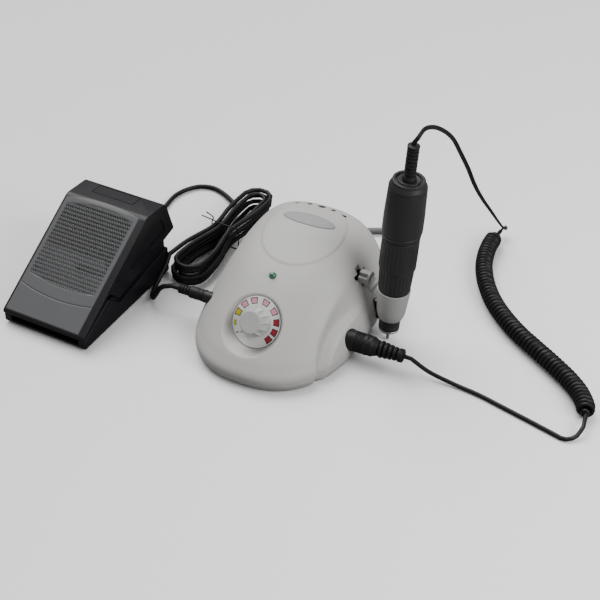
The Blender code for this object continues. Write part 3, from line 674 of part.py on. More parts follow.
def build_pedal(origin):
    pedal = place("pedal_corner", None, None, origin, (PEDAL_X, PEDAL_Y, 0), (0, 0, PEDAL_TURN))
    gloss, rubber = material("pedal black", BLACK, 0.28), material("foot rubber", SOFT_BLACK, 0.85)
    along = lambda u, v, w: (w, u, v)
    hinge = place("treadle_axis", None, None, pedal, (-PEDAL_W / 2, HINGE_Y, HINGE_Z))
    def at_hinge(outline):
        return [(u - HINGE_Y, v - HINGE_Z) for u, v in outline]
    half = PEDAL_W / 2
    under = lambda y: slope_height(y) - PEDAL_PLATE
    side = [(LIP_Y, slope_height(LIP_Y)), (CREST_Y, CREST_Z), (REAR_Y, REAR_Z), (SKIRT_Y, SKIRT_Z), (SKIRT_FRONT_Y, SKIRT_FRONT_Z), (SKIRT_TOP_Y, under(SKIRT_TOP_Y)), (LIP_Y, under(LIP_Y))]
    treadle = solid("treadle", prism(at_hinge(side), -half, half, along), gloss, hinge)
    rounded(treadle, PEDAL_BEVEL)
    start = SKIRT_TOP_Y + PEDAL_WALL * 2
    inside = [(start, under(start)), (CREST_Y, CREST_Z - PEDAL_PLATE), (REAR_Y - PEDAL_WALL / 2, REAR_Z - PEDAL_PLATE), (SKIRT_Y - PEDAL_WALL, SKIRT_Z), (SKIRT_Y - PEDAL_WALL, -OVERRUN), (start, -OVERRUN)]
    boolean(treadle, solid("treadle_hollow", prism(at_hinge(inside), -half + PEDAL_WALL, half - PEDAL_WALL, along), parent=hinge))
    barrel_half = half - CHEEK - GAP * 2
    boolean(treadle, solid("hinge_barrel", rod(HINGE_R, -barrel_half, barrel_half, STEPS_SMALL), parent=hinge, turn=(0, math.pi / 2, 0)), "UNION")
    boolean(treadle, solid("pin_bore", rod(HINGE_PIN_R + GAP, -half + CHEEK / 2, half - CHEEK / 2, STEPS_SMALL), parent=hinge, turn=(0, math.pi / 2, 0)))
    boss_top = under(SPRING_Y) + PEDAL_PLATE / 2
    boolean(treadle, solid("spring_boss", rod(SPRING_BOSS_R, SPRING_TOP - HINGE_Z, boss_top - HINGE_Z, STEPS_SMALL), parent=hinge, at=(0, SPRING_Y - HINGE_Y, 0)), "UNION")

    # Ribbed tread pad let into the ramp
    slope = math.atan2(CREST_Z - LIP_Z, CREST_Y - LIP_Y)
    mid = (PAD_START + PAD_END) / 2
    pad_at = (0, (LIP_Y + mid * math.cos(slope)) - HINGE_Y, LIP_Z + mid * math.sin(slope) - HINGE_Z)
    pad_size = (PEDAL_W - 2 * PAD_SIDE, PAD_END - PAD_START)
    def pad_outline(grow):
        w, l, c = pad_size[0] / 2 + grow, pad_size[1] / 2 + grow, PAD_CORNER
        points = []
        for cx, cy, a0 in ((w - c, l - c, 0), (-w + c, l - c, 90), (-w + c, -l + c, 180), (w - c, -l + c, 270)):
            points += [(cx + c * math.cos(math.radians(a0 + a)), cy + c * math.sin(math.radians(a0 + a))) for a in (0, 30, 60, 90)]
        return points
    boolean(treadle, solid("pad_recess", prism(pad_outline(GAP), -PAD_SINK, OVERRUN, upright), parent=hinge, at=pad_at, turn=(slope, 0, 0)))
    solid("treadle_pad", prism(pad_outline(0), -PAD_SINK + GAP, -PAD_SINK + GAP + PAD_T, upright), material("pad grey", GREY_PAD, 0.75), hinge, pad_at, (slope, 0, 0))

    # Base: flush in front of the skirt, stepped in behind it
    inset = PEDAL_WALL + PEDAL_SLIP
    rear = PEDAL_L
    inner_side = [(LIP_Y + PEDAL_WALL, BASE_Z0), (rear, BASE_Z0), (rear, BASE_REAR_Z), (BASE_MID_Y, BASE_MID_Z), (LIP_Y + PEDAL_WALL, BASE_FRONT_Z - FINE_BEVEL)]
    base = solid("pedal_base", prism(inner_side, -half + inset, half - inset, along), gloss, pedal, (-half, 0, 0))
    front_side = [(0, BASE_Z0), (BASE_STEP_Y, BASE_Z0), (BASE_STEP_Y, BASE_STEP_Z), (SKIRT_TOP_Y - BASE_GAP * 2, under(SKIRT_TOP_Y) - BASE_GAP * 4), (0, under(0) - BASE_GAP)]
    boolean(base, solid("base_front", prism(front_side, -half, half, along), parent=pedal, at=(-half, 0, 0)), "UNION")
    base_inside = [(PEDAL_WALL, BASE_Z0 + PEDAL_WALL), (rear - PEDAL_WALL, BASE_Z0 + PEDAL_WALL), (rear - PEDAL_WALL, CREST_Z), (PEDAL_WALL, CREST_Z)]
    boolean(base, solid("base_hollow", prism(base_inside, -half + CHEEK, half - CHEEK, along), parent=pedal, at=(-half, 0, 0)))
    boolean(base, solid("pin_seat", rod(HINGE_PIN_R + GAP, -half + CHEEK - HINGE_PIN_REACH - GAP, half - CHEEK + HINGE_PIN_REACH + GAP, STEPS_SMALL), parent=pedal, at=(-half, HINGE_Y, HINGE_Z), turn=(0, math.pi / 2, 0)))
    boolean(base, solid("exit_hole", rod(EXIT_HOLE_R, -OVERRUN * 2, OVERRUN, STEPS_SMALL), parent=pedal, at=(EXIT_X, rear, EXIT_Z), turn=(-math.pi / 2, 0, 0)))
    for name, y in (("pedal_foot_front", PEDAL_FOOT_FRONT_Y), ("pedal_foot_back", PEDAL_FOOT_REAR_Y)):
        boolean(base, solid(name + "_seat", block((PEDAL_FOOT_L + 2 * GAP, PEDAL_FOOT_D + 2 * GAP, (BASE_Z0 + PEDAL_FOOT_DEEP) * 2), (-half, y, 0)), parent=pedal))
        solid(name, block((PEDAL_FOOT_L, PEDAL_FOOT_D, PEDAL_FOOT_H), (-half, y, PEDAL_FOOT_H / 2)), rubber, pedal)
    solid("hinge_pin", rod(HINGE_PIN_R, -half + CHEEK - HINGE_PIN_REACH, half - CHEEK + HINGE_PIN_REACH, STEPS_SMALL), material("steel", STEEL, 0.28, 1.0), pedal, (-half, HINGE_Y, HINGE_Z), (0, math.pi / 2, 0))
    low = BASE_Z0 + PEDAL_WALL + GAP + SPRING_WIRE_R
    high = SPRING_TOP - GAP - SPRING_WIRE_R
    count = SPRING_TURNS * SPRING_POINTS
    coil = [(SPRING_R * math.cos(math.tau * i / SPRING_POINTS), SPRING_R * math.sin(math.tau * i / SPRING_POINTS), low + (high - low) * min(1, max(0, (i / count - 0.08) / 0.84))) for i in range(count + 1)]
    least_gap("return_spring", coil, SPRING_WIRE_R, SPRING_R * 2)
    cord("return_spring", coil, SPRING_WIRE_R, material("steel", STEEL, 0.28, 1.0), pedal).location = (-half, SPRING_Y, 0)
    exit_profile = [(0, -EXIT_TAIL), (EXIT_R, -EXIT_TAIL), (EXIT_R, GAP), (EXIT_FLANGE_R, GAP), (EXIT_FLANGE_R, EXIT_FLANGE)] + ribbed(EXIT_R, EXIT_R - EXIT_GROOVE / 2, EXIT_GROOVE, EXIT_FLANGE, EXIT_OUT, EXIT_RIBS) + [(0, EXIT_OUT)]
    solid("pedal_cord_relief", turned(exit_profile, STEPS_SMALL), material("relief black", BLACK, 0.55), pedal, (EXIT_X, rear, EXIT_Z), (-math.pi / 2, 0, 0))
    return pedal


def hank_line(x, y, turn, straight, rear, front, waist, waist_reach, layer, z0, layers, turns, per_loop, start, extra):
    """Loops of a flat coil, spiralling in and out, a layer higher after each reversal.
    rear, front and waist each give the innermost loop's half width there and its growth per loop."""
    total = layers * turns + extra
    count = int(round(total * per_loop))
    points = []
    for i in range(count + 1):
        t = total * i / count
        lap = min(layers * turns - 1e-9, t)
        level = int(lap // turns)
        part = lap / turns - level
        k = turns * ((1 - part) if level % 2 == 0 else part) + max(0.0, t - layers * turns)
        rise = sum((lambda s: s * s * (3 - 2 * s))(min(1.0, max(0.0, (t - (j * turns - 0.25)) / 0.5))) for j in range(1, layers))
        rear_r, front_r, waist_r = (first + k * growth for first, growth in (rear, front, waist))
        rear_arc, front_arc = (math.pi * (first + turns * growth / 2) for first, growth in (rear, front))
        run = 2 * straight
        s = (start + t) % 1.0 * (rear_arc + front_arc + 2 * run)
        side = None
        if s < run:
            u, side = straight - s, 1
        elif s < run + front_arc:
            q = math.pi / 2 + math.pi * (s - run) / front_arc
            u, v = -straight + front_r * math.cos(q), front_r * math.sin(q)
        elif s < 2 * run + front_arc:
            u, side = -straight + (s - run - front_arc), -1
        else:
            q = -math.pi / 2 + math.pi * (s - 2 * run - front_arc) / rear_arc
            u, v = straight + rear_r * math.cos(q), rear_r * math.sin(q)
        if side:
            share = (u / straight + 1) / 2
            flank = front_r + (rear_r - front_r) * share * share * (3 - 2 * share)
            pull = math.exp(-((u / waist_reach) ** 2)) if waist_reach else 0.0
            v = side * (flank + (waist_r - flank) * pull)
        points.append((x + u * math.cos(turn) - v * math.sin(turn), y + u * math.sin(turn) + v * math.cos(turn), z0 + rise * layer))
    return points


def straight_ends(points, radius):
    """Carries both ends on, straight, for one tube diameter."""
    p = [np.array(q, float) for q in points]
    first, last = p[0] - p[1], p[-1] - p[-2]
    first[2], last[2] = 0, 0
    return [p[0] + first / np.linalg.norm(first) * 2 * radius] + p + [p[-1] + last / np.linalg.norm(last) * 2 * radius]


def join_route(start, start_way, route, end, end_way, lead):
    """Route with square starts: its first and last run leave along the given ways."""
    start, end = np.array(start, float), np.array(end, float)
    start_way, end_way = np.array(start_way, float), np.array(end_way, float)
    start_way, end_way = start_way / np.linalg.norm(start_way), end_way / np.linalg.norm(end_way)
    return [start, start + start_way * lead] + [np.array(p) for p in route] + [end + end_way * lead, end]


def laid(route, spacing):
    """A smooth stretch between two straight, square ends."""
    return np.concatenate([route[:1], smooth_line(route[1:-1], spacing), route[-1:]])


def build_cords(origin, axis_turn, pedal):
    black = material("cord black", BLACK, 0.5)
    grey = material("mains grey", CORD_GREY, 0.5)
    # Curly part of the motor cord
    line = smooth_line(COIL_ROUTE, MOTOR_CORD_R)
    run = np.concatenate([[0], np.cumsum(np.linalg.norm(np.diff(line, axis=0), axis=1))])
    way = np.gradient(line, run, axis=0)
    way /= np.linalg.norm(way, axis=1)[:, None]
    across = np.stack([way[:, 1], -way[:, 0], 0 * way[:, 0]], -1)
    across /= np.linalg.norm(across, axis=1)[:, None]
    up = np.cross(across, way)
    lead = 2 * MOTOR_CORD_R
    body = run[-1] - 2 * lead
    curls = []
    count = CURLS * CURL_POINTS
    for i in range(count + 1):
        s = lead + body * i / count
        p, a, b = (np.array([np.interp(s, run, m[:, k]) for k in range(3)]) for m in (line, across, up))
        turn = math.tau * i / CURL_POINTS
        ease = min(1.0, i / CURL_POINTS, (count - i) / CURL_POINTS)
        r = CURL_R * ease * ease * (3 - 2 * ease)
        curls.append(p + r * (math.cos(turn) * a + math.sin(turn) * b))
    curls = [line[0]] + curls + [line[-1]]
    least_gap("curly_cord", curls, MOTOR_CORD_R, CURL_R * math.pi)
    cord("curly_cord", curls, MOTOR_CORD_R, black, origin)
    top = TIP + axis_turn @ Vector((0, 0, RELIEF_TOP + GAP))
    up_way = axis_turn @ Vector((0, 0, 1))
    route = join_route(top, up_way, UPPER_ROUTE, line[0] - way[0] * GAP, -way[0], MOTOR_CORD_R * 3)
    cord("motor_cord_upper", laid(route, MOTOR_CORD_R * CORD_SPACING), MOTOR_CORD_R, black, origin, 2)

    # Motor plug in its socket, and the lower stretch
    plug_at = Vector((SOCKET_FACE_X + GAP, SOCKET_Y, SOCKET_Z))
    plug_turn = (0, math.pi / 2, 0)
    nose = [(0, -DIN_NOSE_L), (DIN_NOSE_R, -DIN_NOSE_L), (DIN_NOSE_R, 0), (DIN_R - FINE_BEVEL, 0), (DIN_R, FINE_BEVEL)]
    grip = []
    for share in (0.62, 0.80):
        grip += [(DIN_R, DIN_L * share - DIN_GROOVE), (DIN_R - DIN_GROOVE, DIN_L * share), (DIN_R, DIN_L * share + DIN_GROOVE)]
    tail = [(DIN_R, DIN_L - DIN_GROOVE * 3), (DIN_RELIEF_R0 + DIN_GROOVE, DIN_L)] + ribbed(DIN_RELIEF_R0, DIN_RELIEF_R1, DIN_RIB_DEPTH, DIN_L + DIN_GROOVE, DIN_L + DIN_RELIEF_L, DIN_RIBS)
    end = DIN_L + DIN_RELIEF_L
    solid("motor_plug", turned(nose + grip + tail + [(0, end)], STEPS_SMALL), material("plug black", BLACK, 0.5), origin, plug_at, plug_turn)
    plug_end = plug_at + Vector((end + GAP, 0, 0))
    route = join_route(line[-1] + way[-1] * GAP, way[-1], LOWER_ROUTE, plug_end, (1, 0, 0), MOTOR_CORD_R * 3)
    cord("motor_cord_lower", laid(route, MOTOR_CORD_R * CORD_SPACING), MOTOR_CORD_R, black, origin, 2)

    # Pedal cord: lead, tied hank, lead to the jack plug
    rear, front, waist = (HANK_REAR_ROUND, HANK_REAR_STEP), (HANK_FRONT_ROUND, HANK_FRONT_STEP), (HANK_WAIST, HANK_WAIST_STEP)
    hank = hank_line(HANK_X, HANK_Y, HANK_TURN, HANK_STRAIGHT, rear, front, waist, HANK_WAIST_REACH, HANK_LAYER, HANK_Z0, HANK_LAYERS, HANK_TURNS_PER_LAYER, HANK_POINTS, HANK_START_SHARE, HANK_TURN_EXTRA)
    hank = straight_ends(hank, PEDAL_CORD_R)
    least_gap("pedal_cord_hank", hank, PEDAL_CORD_R, HANK_FRONT_ROUND * 3)
    cord("pedal_cord_hank", hank, PEDAL_CORD_R, black, origin)
    turn = Matrix.Rotation(PEDAL_TURN, 3, "Z")
    pedal_exit = Vector((PEDAL_X, PEDAL_Y, 0)) + turn @ Vector((EXIT_X, PEDAL_L + EXIT_OUT + GAP, EXIT_Z))
    first, last = np.array(hank[0]), np.array(hank[-1])
    first_way, last_way = first - np.array(hank[1]), last - np.array(hank[-2])
    first_way, last_way = first_way / np.linalg.norm(first_way), last_way / np.linalg.norm(last_way)
    route = join_route(pedal_exit, turn @ Vector((0, 1, 0)), PEDAL_ROUTE, first + first_way * GAP, first_way, PEDAL_CORD_R * 3)
    cord("pedal_cord_lead", laid(route, PEDAL_CORD_R * CORD_SPACING), PEDAL_CORD_R, black, origin, 2)
    jack_at = Vector((-JACK_FACE_X - GAP, JACK_Y, JACK_Z))
    jack = [(0, -JACKPLUG_TIP_L), (JACKPLUG_TIP_R, -JACKPLUG_TIP_L), (JACKPLUG_TIP_R, 0), (JACKPLUG_R - FINE_BEVEL, 0), (JACKPLUG_R, FINE_BEVEL), (JACKPLUG_R, JACKPLUG_L - FINE_BEVEL)] + ribbed(JACKPLUG_RELIEF_R, JACKPLUG_RELIEF_R, JACKPLUG_RIB_DEPTH, JACKPLUG_L, JACKPLUG_L + JACKPLUG_RELIEF_L, JACKPLUG_RIBS) + [(0, JACKPLUG_L + JACKPLUG_RELIEF_L)]
    solid("pedal_plug", turned(jack, STEPS_SMALL), material("plug black", BLACK, 0.5), origin, jack_at, (0, -math.pi / 2, 0))
    jack_end = jack_at + Vector((-JACKPLUG_L - JACKPLUG_RELIEF_L - GAP, 0, 0))
    route = join_route(jack_end, (-1, 0, 0), JACK_ROUTE, last + last_way * GAP, last_way, PEDAL_CORD_R * 3)
    cord("pedal_cord_tail", laid(route, PEDAL_CORD_R * CORD_SPACING), PEDAL_CORD_R, black, origin, 2)

    # Wire tie round the waist of the hank
    wide = HANK_WAIST + (HANK_TURNS_PER_LAYER + HANK_TURN_EXTRA) * HANK_WAIST_STEP + PEDAL_CORD_R + TIE_CLEAR + TIE_R
    tall = HANK_Z0 + (HANK_LAYERS - 1) * HANK_LAYER + PEDAL_CORD_R + TIE_CLEAR + TIE_R
    low = TIE_R + GAP / 3
    corner = TIE_CORNER
    loop = [(-wide - TIE_END, tall + TIE_SPLIT * 2, -TIE_SPLIT), (-wide * 0.7, tall + TIE_SPLIT, -TIE_SPLIT), (0, tall, -TIE_SPLIT), (wide - corner, tall, -TIE_SPLIT / 2), (wide, tall - corner, 0), (wide, low + corner, 0), (wide - corner, low, 0), (0, low, 0), (-wide + corner, low, 0), (-wide, low + corner, 0), (-wide, tall - corner * 1.4, TIE_SPLIT / 2), (-wide + corner * 0.6, tall + TIE_SPLIT * 2.2, TIE_SPLIT), (-wide - TIE_END * 0.6, tall + TIE_SPLIT * 6, TIE_SPLIT)]
    c, s = math.cos(HANK_TURN), math.sin(HANK_TURN)
    tie = [(HANK_X + w * c + v * s, HANK_Y + w * s - v * c, z) for v, z, w in loop]
    cord("cord_tie", tie, TIE_R, material("plug black", BLACK, 0.5), origin)

    # Mains cord: lead, hank behind the box, plug
    loop = (MAINS_ROUND, MAINS_STEP)
    mains = hank_line(MAINS_X, MAINS_Y, MAINS_TURN, MAINS_STRAIGHT, loop, loop, loop, 0, -MAINS_LAYER, MAINS_Z0 + MAINS_LAYER, MAINS_LAYERS, MAINS_TURNS_PER_LAYER, MAINS_POINTS, MAINS_START_SHARE, 0.0)
    mains = straight_ends(mains + [np.array(q) for q in MAINS_TAIL], MAINS_CORD_R)
    least_gap("mains_cord_hank", mains, MAINS_CORD_R, MAINS_ROUND * 3)
    cord("mains_cord_hank", mains, MAINS_CORD_R, grey, origin)
    rear_y = BOX_FRONT_Y + body_values(GLAND_Z / BOX_H)[2] * BOX_D
    gland_end = (GLAND_X, rear_y + GLAND_OUT + GAP, GLAND_Z)
    first, last = np.array(mains[0]), np.array(mains[-1])
    first_way, last_way = first - np.array(mains[1]), last - np.array(mains[-2])
    first_way, last_way = first_way / np.linalg.norm(first_way), last_way / np.linalg.norm(last_way)
    route = join_route(gland_end, (0, 1, 0), MAINS_ROUTE, first + first_way * GAP, first_way, MAINS_CORD_R * 2)
    cord("mains_cord_lead", laid(route, MAINS_CORD_R * CORD_SPACING), MAINS_CORD_R, grey, origin, 2)
    build_mains_plug(origin, last + last_way * GAP, last_way)


def build_mains_plug(origin, at, way):
    half_w, half_t = PLUG_W / 2, PLUG_T / 2
    rings = []
    for share, w, t in ((0.0, PLUG_NECK_R, PLUG_NECK_R), (0.22, PLUG_NECK_R, PLUG_NECK_R), (0.45, half_w * 0.8, half_t * 0.95), (0.75, half_w, half_t), (1.0, half_w, half_t)):
        rings.append([(w * math.copysign(abs(math.cos(a)) ** 0.7, math.cos(a)), t * math.copysign(abs(math.sin(a)) ** 0.7, math.sin(a)), PLUG_L * share) for a in (math.tau * i / 12 for i in range(12))])
    heading = math.atan2(way[1], way[0])
    base = place("plug_axis", None, None, origin, at, (0, math.pi / 2, heading))
    plug = solid("mains_plug", lofted(rings), material("mains grey", CORD_GREY, 0.5), base, turn=(0, 0, math.pi / 2))
    for i, side in enumerate((-1, 1)):
        boolean(plug, solid(f"plug_pin_{i}", rod(PLUG_PIN_R, PLUG_L - OVERRUN, PLUG_L + PLUG_PIN_L, 12, FINE_BEVEL), parent=base, at=(0, side * PLUG_PIN_X, 0)), "UNION")


CORD_NODES = ("motor_cord_upper", "curly_cord", "motor_cord_lower", "motor_plug", "pedal_cord_lead", "pedal_cord_hank",
              "pedal_cord_tail", "pedal_plug", "cord_tie", "mains_cord_lead", "mains_cord_hank", "mains_plug")


def centre_origin(origin):
    """Moves the whole set so that the middle of its hard pieces stands over the origin."""
    graph = bpy.context.evaluated_depsgraph_get()
    corners = []
    for obj in bpy.data.objects:
        if obj.data and not obj.hide_render and obj.name not in CORD_NODES:
            seen = obj.evaluated_get(graph)
            mesh = seen.to_mesh()
            corners += [seen.matrix_world @ v.co for v in mesh.vertices]
            seen.to_mesh_clear()
    low = [min(c[k] for c in corners) for k in range(3)]
    high = [max(c[k] for c in corners) for k in range(3)]
    origin.location = (-(low[0] + high[0]) / 2, -(low[1] + high[1]) / 2, -low[2])


def main():
    for old in list(bpy.data.objects):
        bpy.data.objects.remove(old, do_unlink=True)
    origin = place("micromotor_set", None)
    build_box(origin)
    axis = build_handpiece(origin)
    pedal = build_pedal(origin)
    turn = Matrix.Rotation(LEAN_RIGHT, 3, "Y") @ Matrix.Rotation(LEAN_BACK, 3, "X")
    build_cords(origin, turn, pedal)
    bpy.context.view_layer.update()
    centre_origin(origin)
    bpy.context.view_layer.update()


main()
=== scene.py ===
"""Looks of a portable micromotor: control box, handpiece in its cradle, foot pedal and cords.

Metres, +Z up. Places are written from the control box's own middle, and ORIGIN carries them to the model's
frame.
"""
import json
import math

import bpy
import numpy as np
from bpy.props import FloatProperty, FloatVectorProperty, IntProperty, PointerProperty
from mathutils import Matrix, Vector


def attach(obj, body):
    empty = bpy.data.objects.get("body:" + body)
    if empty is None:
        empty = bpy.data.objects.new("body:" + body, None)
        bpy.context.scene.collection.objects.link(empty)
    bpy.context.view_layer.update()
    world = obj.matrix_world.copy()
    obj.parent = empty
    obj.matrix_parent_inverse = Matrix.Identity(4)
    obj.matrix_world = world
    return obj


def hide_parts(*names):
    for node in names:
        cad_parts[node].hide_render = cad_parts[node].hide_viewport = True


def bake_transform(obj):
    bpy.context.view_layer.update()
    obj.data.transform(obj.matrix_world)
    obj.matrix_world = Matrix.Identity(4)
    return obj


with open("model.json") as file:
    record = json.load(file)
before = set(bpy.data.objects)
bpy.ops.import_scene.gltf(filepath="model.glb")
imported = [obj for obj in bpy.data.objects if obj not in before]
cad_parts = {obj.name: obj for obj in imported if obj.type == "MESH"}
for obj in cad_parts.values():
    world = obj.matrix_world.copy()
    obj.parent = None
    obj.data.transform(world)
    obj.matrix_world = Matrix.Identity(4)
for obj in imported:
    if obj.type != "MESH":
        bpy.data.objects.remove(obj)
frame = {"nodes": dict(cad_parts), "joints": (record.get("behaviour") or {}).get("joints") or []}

bl_info = {
    "name": "Portable micromotor",
    "version": (1, 0, 0),
    "blender": (4, 5, 0),
    "location": "View3D > Sidebar > Micromotor",
    "description": "Makes the surfaces, cords and finishes of a portable micromotor",
    "category": "Object",
}

TAU = math.tau
GAP = 0.0003
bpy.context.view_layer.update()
JOINTS = {joint["name"]: joint for joint in frame["joints"]}


def mm(*rows):
    """Rows of millimetres as metres."""
    return [tuple(value / 1000 for value in row) for row in rows]


def ribs(count, start, pitch, *rib, narrower=0.0):
    """Outline of ribs, pitch apart and each narrower than the last, from one rib's points in millimetres."""
    return mm(*((r - narrower * k, start + pitch * k + z) for k in range(count) for r, z in rib))


# Control box, as in the part's source
BOX_W, BOX_D, BOX_H = 0.122, 0.157, 0.0745
FRONT_Y = -BOX_D * 0.52229
WALL = 0.0024
TRAY_Z0, TRAY_Z1, TRAY_FLOOR = 0.0018, 0.0080, 0.0024
# height share: half width, front, back, widest place, all as shares; then corner powers front and back
BODY_SHARES = (
    (0.00, 0.955, 0.020, 0.975, 0.52, 2.50, 5.0),
    (0.07, 0.990, 0.003, 0.985, 0.52, 2.50, 5.0),
    (0.15, 1.000, 0.000, 0.990, 0.53, 2.50, 5.0),
    (0.25, 0.985, 0.036, 0.992, 0.56, 2.42, 4.9),
    (0.37, 0.942, 0.100, 0.989, 0.595, 2.38, 4.5),
    (0.50, 0.888, 0.178, 0.984, 0.63, 2.34, 4.2),
    (0.63, 0.826, 0.265, 0.977, 0.67, 2.30, 3.8),
    (0.75, 0.758, 0.355, 0.966, 0.70, 2.26, 3.3),
    (0.85, 0.668, 0.450, 0.948, 0.73, 2.20, 2.9),
    (0.93, 0.540, 0.560, 0.914, 0.755, 2.12, 2.6),
    (0.98, 0.370, 0.652, 0.865, 0.77, 2.05, 2.3),
    (1.00, 0.180, 0.730, 0.810, 0.77, 2.00, 2.0),
)
CROWN_SHARE, CROWN_MIDDLE = 1.0045, 0.77
# soft ridge over the valley and crisp crease under it: places along the side, with the height of each there
VALLEY_DEPTH, VALLEY_FADE, VALLEY_STEEP = 0.0052, (-0.030, 0.024), 0.24
VALLEY_FOOT, VALLEY_FOOT_SHARE = 0.020, 0.55
RIDGE_LINE = ((-0.0621, -0.0527, -0.0363, -0.0206, -0.0018, 0.0154, 0.0286),
              (0.0, 0.0255, 0.0391, 0.0469, 0.0535, 0.0581, 0.0596))
CREASE_LINE = ((-0.0621, -0.0503, -0.0382, -0.0215, -0.0048, 0.0133, 0.0400),
               (-0.0160, 0.0, 0.0153, 0.0250, 0.0282, 0.0296, 0.0300))
TRIM_Y, TRIM_X_REACH, TRIM_Y_REACH, TRIM_RISE = 0.024, 0.0315, 0.036, 0.0006
BADGE_Y, BADGE_HALF_X, BADGE_HALF_Y = FRONT_Y + BOX_D * 0.7280, 0.0210, 0.0062
VENT_PITCH, VENT_Y, VENT_SAG = 0.0098, FRONT_Y + BOX_D * 0.8640, 0.0022
# radius and sideways stretch of the middle vent and of the others
VENT_SHAPES = (0.0022, 1.4), (0.0017, 1.1)
LAMP_X, LAMP_Y, LAMP_R, LAMP_ELEVATION = -0.003, FRONT_Y + BOX_D * 0.3854, 0.0025, math.radians(66)
DIAL_AT = (-0.0035, FRONT_Y + BOX_D * 0.2229, BOX_H * 0.4497)
DIAL_ELEVATION = math.radians(35)
PLATE_R, PLATE_T, PLATE_HOLE_R, DIAL_BORE_R = 0.01885, 0.0012, 0.0046, 0.0041
WELL_FLOOR_R, WELL_RIM_R = 0.0194, 0.0240
KNOB_H, KNOB_LIFT, KNOB_REST, SHAFT_R = 0.0110, 0.0006, math.radians(-140), 0.0030
FOOT_R, FOOT_X = 0.0060, BOX_W * 0.3279
FOOT_YS = (FRONT_Y + BOX_D * 0.2166, FRONT_Y + BOX_D * 0.8917)
SOCKET_AT, SOCKET_R, SOCKET_BODY_R = (BOX_W * 0.4525, FRONT_Y + BOX_D * 0.4140, 0.0175), 0.0080, 0.0072
SOCKET_LIP, JACK_LIP = 0.0016, 0.0014
SWITCH_AT, SWITCH_LONG, SWITCH_TALL = (BOX_W * 0.4820, FRONT_Y + BOX_D * 0.7516, 0.0180), 0.0280, 0.0165
SWITCH_LIP = 0.0054
ROCKER_TILT = math.radians(8)
JACK_AT, JACK_R, JACK_BODY_R = (-BOX_W * 0.4590, FRONT_Y + BOX_D * 0.3312, 0.0270), 0.0049, 0.0046
JACK_BORE_R = 0.0034
GLAND_X, GLAND_Z, GLAND_R, GLAND_FLANGE_R, GLAND_OUT = BOX_W * 0.3607, 0.0130, 0.0048, 0.0070, 0.0200
PEG = np.array((BOX_W * 0.4344, FRONT_Y + BOX_D * 0.6369, BOX_H * 0.6577))
CROSS_LONG, CROSS_PEG_LONG, CROSS_T, CROSS_CLEAR = 0.0136, 0.0100, 0.0044, 0.0007
PEG_IN, PEG_OUT = -0.0040, 0.0037
ARM_HEIGHT, ARM_PEG_R, COLLAR_R, COLLAR_LOW, COLLAR_T = 0.0340, 0.0048, 0.0055, 0.0030, 0.0018

# Handpiece, by heights along its own axis
TIP = np.array((PEG[0] + 0.0210, PEG[1] - 0.0036, 0.0030))
LEAN_RIGHT, LEAN_BACK = math.radians(3.63), math.radians(-1.25)
RELIEF_LOW, RELIEF_TOP = 0.1412, 0.1412 + 0.0276

# Foot pedal, in its own corner frame
PEDAL_AT, PEDAL_TURN = (-BOX_W / 2 - 0.0587, -0.1016, 0.0), math.radians(-2.3)
PEDAL_W, PEDAL_L = 0.0740, 0.1170
LIP, CREST, REAR, SKIRT = (0.0020, 0.0130), (0.0920, 0.0660), (0.1180, 0.0640), (0.1270, 0.0360)
SKIRT_FRONT, SKIRT_TOP_Y = (0.0500, 0.0190), 0.0380
PEDAL_PLATE, PEDAL_WALL, PEDAL_SLIP = 0.0036, 0.0026, 0.0008
HINGE_Y, HINGE_Z, HINGE_R, HINGE_PIN_R, CHEEK = 0.0100, 0.0096, 0.0050, 0.0012, 0.0060
SPRING_Y, SPRING_R, SPRING_WIRE_R, SPRING_TOP = 0.0800, 0.0055, 0.0006, 0.0320
BASE_Z0 = 0.0016
EXIT_AT, EXIT_OUT = (-0.0330, PEDAL_L, 0.0130), 0.0140

# Cords and plugs
MOTOR_CORD_R, PEDAL_CORD_R, MAINS_CORD_R = 0.0016, 0.0019, 0.0027
CURL_R = 0.0054
PLUG_BODY_L, PLUG_TAIL_L = 0.0250, 0.0200
JACK_PLUG_L, JACK_PLUG_TAIL_L = 0.0120, 0.0100
UPPER_ROUTE = mm((86.8, 20, 176.5), (87.6, 27, 179), (89, 40, 174.5), (91.5, 56.8, 162.9),
                 (93.7, 70.7, 149.3), (95.6, 82.6, 132.3), (97.8, 97.1, 110.5), (99.7, 108.9, 90.5),
                 (101.8, 122.4, 71.2), (104.5, 139.9, 49.2), (107, 158, 27), (107.8, 169, 15),
                 (107.7, 176.8, 9.5), (106.9, 180.8, 7.8), (105.5, 181.8, 7.3))
COIL_ROUTE = mm((104.5, 174.2, 7.3), (103.2, 153.4, 7.3), (107.5, 128.4, 7.3), (116, 107.9, 7.3),
                (129.7, 86.6, 7.3), (144.4, 70.8, 7.3), (161.3, 56.7, 7.3), (178.5, 45.4, 7.3),
                (195.5, 34.5, 7.3), (212.6, 22.3, 7.3), (224.5, 10.5, 7.3), (232.3, -2.9, 7.3),
                (234.5, -14, 7.3))
LOWER_ROUTE = mm((233, -26, 3), (227, -31, 2), (216.3, -29, 2), (200, -25, 2), (179.2, -20, 2),
                 (157.7, -15, 2), (136.4, -13, 3), (118, -14, 8))
PEDAL_ROUTE = mm((-154.5, 48, 9), (-159, 70, 4), (-163, 93, 2.4), (-163.2, 107, 2.4), (-159, 119, 2.4),
                 (-151, 128, 2.4), (-140, 131, 2.4), (-129, 127.5, 2.8), (-119, 121.5, 3.4),
                 (-109, 113.5, 3.6))
JACK_ROUTE = mm((-93, -31, 23.5), (-99, -30, 14.5), (-105, -26, 5.5), (-110, -19, 2.6), (-112.5, -10, 3.5),
                (-113, -1, 7.5), (-112.6, 7.5, 13))
